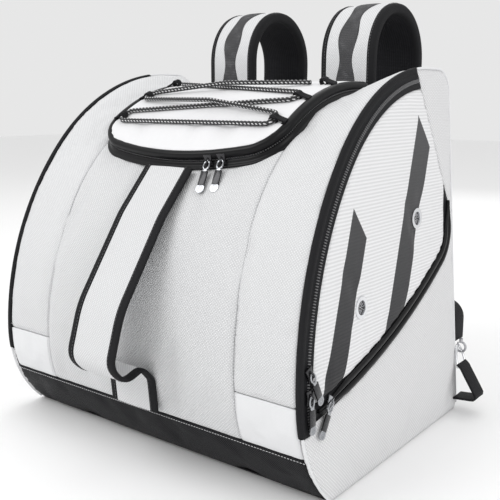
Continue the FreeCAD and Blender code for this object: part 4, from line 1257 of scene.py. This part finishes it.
band_rows = [across_front(BAND_TOP - 0.0022, -0.205, 0.205, 0.0005)]
patch_rows = [across_front(PATCH_TOP + 0.0020, sign * 0.136, sign * 0.203, 0.0006) for sign in (-1, 1)]
seam_rows = [down_front(sign, 0.0022, 0.0007) for sign in (-1, 1)]
stamp("band_stitches", dash, band_rows, pale_thread, "bag")
stamp("patch_stitches", dash, patch_rows + seam_rows, pale_thread, "bag")
handle_rows = []
for offset in (-0.0258, 0.0258):
    places, sides, outs = handle_path
    handle_rows.append(spaced(places + sides * offset + outs * 0.0026, outs, STITCH))
stamp("handle_stitches", dash, handle_rows, dark_thread, "bag")
for side, sign in (("left", -1), ("right", 1)):
    places, sides, outs = side_path(strap_line, sign * STRAP_X)
    rows = [spaced(places + sides * offset + outs * 0.0063, outs, STITCH) for offset in (-0.0290, 0.0290)]
    stamp(f"strap_stitches_{side}", dash, rows, dark_thread, "strap_" + side)

# %% [markdown]
# ## Zip sliders and pulls
# A slider is a small cast body with a waist and an arched bail on its face. Its pull is a wire eye, a flat
# tab and a round silver end with fine ridges. Both are modelled once at the origin, with X across, Y towards
# the slider and Z out of the cloth, and then copied to eight places.

# %% Slider and pull at the origin


def move_into_mesh(piece):
    pick(piece)
    bpy.ops.object.transform_apply(location=True, rotation=True, scale=True)
    return piece


def joined(pieces, name):
    drop_all()
    for piece in pieces:
        piece.select_set(True)
    bpy.context.view_layer.objects.active = pieces[0]
    bpy.ops.object.join()
    pieces[0].name = name
    return pieces[0]


def rounded_block(place, size, bevel, waist=None):
    """A block with rounded edges; waist draws the middle of its long sides in."""
    drop_all()
    bpy.ops.mesh.primitive_cube_add(size=1.0, location=place)
    piece = bpy.context.object
    piece.scale = size
    move_into_mesh(piece)
    if waist:
        bpy.ops.object.mode_set(mode="EDIT")
        bpy.ops.mesh.select_all(action="SELECT")
        bpy.ops.mesh.bisect(plane_co=(0, place[1], 0), plane_no=(0, 1, 0))
        bpy.ops.transform.resize(value=(waist, 1, 1), center_override=place)
        bpy.ops.object.mode_set(mode="OBJECT")
    edges = piece.modifiers.new("edges", "BEVEL")
    edges.width = bevel
    edges.segments = 2
    bpy.ops.object.modifier_apply(modifier="edges")
    return piece


def wire_ring(place, radius, wire, turn, stretch=1.0):
    drop_all()
    bpy.ops.mesh.primitive_torus_add(
        location=place, rotation=turn, major_radius=radius, minor_radius=wire, major_segments=20, minor_segments=8
    )
    piece = bpy.context.object
    piece.scale = (stretch, 1, 1)
    return move_into_mesh(piece)


slider_body = rounded_block((0, 0, 0.00155), (0.0100, 0.0130, 0.0023), 0.0007, 0.74)
bail = wire_ring((0, 0, 0.0026), 0.0032, 0.0008, (math.pi / 2, 0, math.pi / 2))
slider_shape = joined([slider_body, bail], "slider_shape")

eye = wire_ring((0, -0.0040, 0), 0.0033, 0.0008, (0, 0, math.pi / 2), 1.45)
bar = rounded_block((0, -0.0098, 0), (0.0052, 0.0044, 0.0017), 0.0006)
drop_all()
bpy.ops.mesh.primitive_cylinder_add(vertices=28, radius=0.0047, depth=0.0018, location=(0, -0.0294, 0))
end = bpy.context.object
bpy.ops.object.mode_set(mode="EDIT")
bpy.ops.mesh.select_all(action="DESELECT")
bpy.ops.object.mode_set(mode="OBJECT")
for face in end.data.polygons:
    face.select = abs(face.normal.z) > 0.9
bpy.ops.object.mode_set(mode="EDIT")
bpy.ops.mesh.select_mode(type="FACE")
bpy.ops.mesh.inset(thickness=0.0007)
bpy.ops.transform.resize(value=(1, 1, 0.72), center_override=(0, -0.0294, 0))
bpy.ops.object.mode_set(mode="OBJECT")
move_into_mesh(end)
ridges = [rounded_block((x, -0.0294, 0), (0.0004, long, 0.0017), 0.00012) for x, long in (
    (-0.0024, 0.0056), (-0.0012, 0.0072), (0.0, 0.0076), (0.0012, 0.0072), (0.0024, 0.0056),
)]
pull_shape = joined([eye, bar, end] + ridges, "pull_shape")
grip_shape = rounded_block((0, -0.0183, 0), (0.0082, 0.0160, 0.0020), 0.0008)
grip_shape.name = "grip_shape"
print("slider faces", len(slider_shape.data.polygons), "pull faces", len(pull_shape.data.polygons))

# %% [markdown]
# Where each slider sits comes from its pull's joint: the joint runs through the bail, so the cloth lies four
# millimetres under it. The lid's pulls hang straight down, and so lean away from the sloping wall.

# %% Sliders and pulls in place
BAR_HEIGHT = 0.0040
LID_SLIDERS = {"lid_slider_left": 0.048, "lid_slider_right": 0.064}
LID_PULL_DROP = math.radians(52)


def frame_matrix(origin, x, z):
    x = Vector(x).normalized()
    z = (Vector(z) - x * x.dot(Vector(z))).normalized()
    turn = Matrix((x, z.cross(x), z)).transposed().to_4x4()
    turn.translation = Vector(origin)
    return turn


def fitted(shape, matrix, name, finish, body, nodes=()):
    mesh = shape.data.copy()
    mesh.transform(matrix)
    mesh.materials.clear()
    mesh.materials.append(finish)
    piece = bpy.data.objects.new(name, mesh)
    scene.collection.objects.link(piece)
    pick(piece)
    bpy.ops.object.shade_smooth_by_angle(angle=math.radians(40))
    return settle(piece, body, nodes)


for joint in frame["joints"]:
    if "pull" not in joint["child"]:
        continue
    pull_body, slider_name = joint["child"], joint["parent"]
    axis = -np.array(joint["axis"], float)
    place = np.array(joint["pos_m"], float)
    if slider_name in LID_SLIDERS:
        turn = math.asin(LID_SLIDERS[slider_name] / LID_BOW)
        outward = np.array((math.sin(turn), 0, 0)) - math.cos(turn) * LID_BACK
        drop, finish = LID_PULL_DROP, slider_black
    else:
        outward = np.array((math.copysign(math.cos(SIDE_ANGLE), place[0]), 0, math.sin(SIDE_ANGLE)))
        drop, finish = 0.0, slider_silver if "pocket" in slider_name else slider_black
    sits = frame_matrix(place - outward * BAR_HEIGHT, axis, outward)
    hangs = frame_matrix(place, axis, outward) @ Matrix.Rotation(-drop, 4, "X")
    fitted(slider_shape, sits, slider_name + "_cast", finish, slider_name, [slider_name])
    fitted(pull_shape, hangs, pull_body + "_cast", slider_silver, pull_body, [pull_body])
    fitted(grip_shape, hangs, pull_body + "_grip", slider_black, pull_body)
for shape in (slider_shape, pull_shape, grip_shape):
    bpy.data.objects.remove(shape)

# %% [markdown]
# ## Hardware that keeps its shape
# The eyelets, hooks and buckles are hard and already right. They get metal or plastic, and their
# edges a small bevel, so that light catches them.

# %% Hardware finishes
HARDWARE = (
    (("vent_eyelets",), chrome, 0.0003),
    (("snap_hook", "snap_gate"), steel, 0.0002),
    (("vent_discs",), buckle_plastic, 0.0002),
    (("ladder_lock", "sternum_socket", "sternum_plug"), buckle_plastic, 0.0005),
)
for names, finish, width in HARDWARE:
    for node, piece in frame["nodes"].items():
        if not node.startswith(names):
            continue
        piece.data.materials.clear()
        piece.data.materials.append(finish)
        weld = piece.modifiers.new("weld", "WELD")
        weld.merge_threshold = 0.00001
        bevelled(piece, width)
        print(node, finish.name)

# %% [markdown]
# The ring on each corner tab is pulled up and inwards by the hook that holds it. So its bow is drawn longer
# and leans, until it passes through the hook's round, as a linked ring does.

# %% Rings pulled into their hooks
RING_Z = 0.056
RING_RADIUS = 0.011
PULL_IN, PULL_BACK, PULL_UP = 0.0085, 0.0064, 0.0092
for side, sign in (("left", -1), ("right", 1)):
    ring_piece = copied("d_ring_" + side, f"linked_ring_{side}")
    points = coords_of(ring_piece)
    lifted = np.clip((points[:, 2] - RING_Z) / RING_RADIUS, 0, None)
    points += lifted[:, None] * np.array((-sign * PULL_IN, PULL_BACK, PULL_UP))
    ring_piece.data.vertices.foreach_set("co", points.ravel())
    ring_piece.data.materials.append(chrome)
    pick(ring_piece)
    bpy.ops.object.shade_smooth_by_angle(angle=math.radians(50))
    settle(ring_piece, "d_ring_" + side)

# %% [markdown]
# Each vent is a metal ring round a dark disc with slots. A ring of small ribs on the disc and a polished
# hub give it the look of a pressed grille.

# %% Vent grilles
rib = pattern_mesh((0.0008, 0.0044, 0.0010), 0.0002)
hub_bead = pattern_mesh((0.0014, 0.0014, 0.0008), 0.0003, 2)
for side, sign in (("left", -1), ("right", 1)):
    rows = []
    hubs = []
    for y, z in VENTS:
        angles = np.linspace(0, math.tau, 12, endpoint=False)
        circle = np.column_stack((y + 0.0045 * np.cos(angles), z + 0.0045 * np.sin(angles)))
        places, outs = on_side(circle, sign, -0.0012)
        middle, _ = on_side(np.array([(y, z)]), sign, -0.0012)
        rows.append((places, unit(places - middle), outs))
        hubs.append((middle, np.array([(0.0, 1.0, 0.0)]), outs[:1]))
    stamp(f"vent_ribs_{side}", rib, rows, steel, "boot_door_" + side)
    stamp(f"vent_hubs_{side}", hub_bead, hubs, chrome, "boot_door_" + side)

# %% [markdown]
# ## Webbing tabs
# Low on each rear corner a folded webbing tab holds a ring: it goes round the ring's bar, runs out and down
# and is sewn into the seam under the bag. On the lid, a short tab runs from the rolled edge to every loop of
# the cord, lying on the padded top.

# %% Corner tabs and lid tabs
TAB_ROUTE = ((0.2172, 0.0590), (0.2215, 0.0560), (0.2440, 0.0200), (0.2146, 0.0170))
TAB_BENDS = (0.0025, 0.004)
TAB_Y = 0.160
corner_tabs = []
for sign in (-1, 1):
    line = rounded(TAB_ROUTE, TAB_BENDS, 0.003)
    places = np.column_stack((line[:, 0] * sign, np.full(len(line), TAB_Y), line[:, 1]))
    sides = np.tile((0.0, 1.0, 0.0), (len(line), 1))
    outs = unit(np.cross(unit(np.gradient(places, axis=0)), sides))
    corner_tabs.append(sweep("corner_tab", (places, sides, outs), web_profile, (webbing_cloth,)))
settle(joined(corner_tabs, "corner_tab_webbing"), "bag", ["corner_tabs"])

TAB_PROFILE = [(s * 0.30, h * 0.85, n) for s, h, n in web_profile]
lid_tabs = []
for along in LOOP_PLACES:
    for sign in (-1, 1):
        stops = ((0.1200, 0.0020), (0.1160, 0.0034), (0.1110, 0.0052), (0.1060, 0.0086), (0.1025, 0.0072))
        dense = evenly(np.array([lid_point(sign * x, along, LID_RISE + h) for x, h in stops]), 0.002)
        ways = unit(np.gradient(dense, axis=0))
        outs = unit(np.tile(LID_UP, (len(dense), 1)) - ways * (ways @ LID_UP)[:, None])
        lid_tabs.append(sweep("lid_tab", (dense, np.cross(outs, ways), outs), TAB_PROFILE, (webbing_cloth,)))
tabs = joined(lid_tabs, "lid_tab_webbing")
soften(tabs)
settle(tabs, "lid")

# %% [markdown]
# A bound seam runs round each side from the foot of the zip to the top, where the strip and the zip tape
# meet on the edge. It is a narrow rolled binding that wraps the corner.

# %% Edge bindings
EDGE_FOOT = 0.077
EDGE_ROLL = one_cloth((
    (-0.0050, 0.0002), (-0.0044, 0.0014), (-0.0012, 0.0022), (0.0012, 0.0016),
    (0.0016, -0.0014), (0.0012, -0.0050), (-0.0010, -0.0060),
))
full_side = outline(SIDE, 0.0, 60)
for side, sign in (("left", -1), ("right", 1)):
    dense = evenly(zipped_part(full_side, 0.0, EDGE_FOOT), 0.005)
    places, outs = on_side(dense, sign, 0.0)
    path = (places, outs, out_of(dense, side_line))
    soft_sweep(f"edge_binding_{side}", path, EDGE_ROLL, (binding_cloth,), "bag")

# %% [markdown]
# Where no zip tape lies on the edge, a pale piping closes the seam between the sides and the rest: at the
# lower front corners and all down the rear. The piping is a thin round cord sewn into a folded strip.

# %% Pale piping
PIPE_RADIUS = 0.0013
behind = (past_fold(full_side) <= 0) | (full_side[:, 0] > ZIP_END_Y)
front_part = full_side[(full_side[:, 1] < EDGE_FOOT + 0.002) & (full_side[:, 0] < 0) & (full_side[:, 1] > 0.002)]
rear_part = full_side[behind & (full_side[:, 0] > 0) & (full_side[:, 1] > 0.004)]
pipes = []
for sign in (-1, 1):
    for part in (front_part, rear_part):
        dense = evenly(part, 0.004)
        places, outs = on_side(dense, sign, -0.0004)
        path = (places, outs, out_of(dense, side_line))
        pipes.append(sweep("pipe", path, round_profile(PIPE_RADIUS, 8), (patch_cloth,)))
settle(joined(pipes, "edge_piping"), "bag")

# %% [markdown]
# At the back, stitches run along the seam under the yoke and down both edges of the back panel, a few
# millimetres in from the piping.

# %% Rear stitches
BACK_SEAM = float(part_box("back_panel")[1][2])
STITCH_LIFT = 0.0008
heights = middle_line[:, 1]
rear_line = middle_line[(middle_line[:, 0] > 0.12) & (heights > 0.01) & (heights < BACK_SEAM - 0.004)]
rear_outs = out_of(rear_line, middle_line)
rear_rows = []
for sign in (-1, 1):
    half = BASE_HALF - SIDE_TAPER * rear_line[:, 1] - 0.007
    places = np.column_stack((sign * half, rear_line))
    rear_rows.append(spaced(places + rear_outs * STITCH_LIFT, rear_outs, STITCH))
for drop in (0.004, 0.009):
    height = BACK_SEAM - drop
    index = int(np.argmin(np.abs(rear_line[:, 1] - height)))
    spot = rear_line[index] + (height - rear_line[index][1]) * np.array((-BACK_LEAN, 1.0))
    spot = spot + rear_outs[index][1:] * STITCH_LIFT
    places = np.array([(-0.190, *spot), (0.190, *spot)])
    rear_rows.append(spaced(places, np.tile(rear_outs[index], (2, 1)), STITCH))
stamp("rear_stitches", dash, rear_rows, dark_thread, "bag")
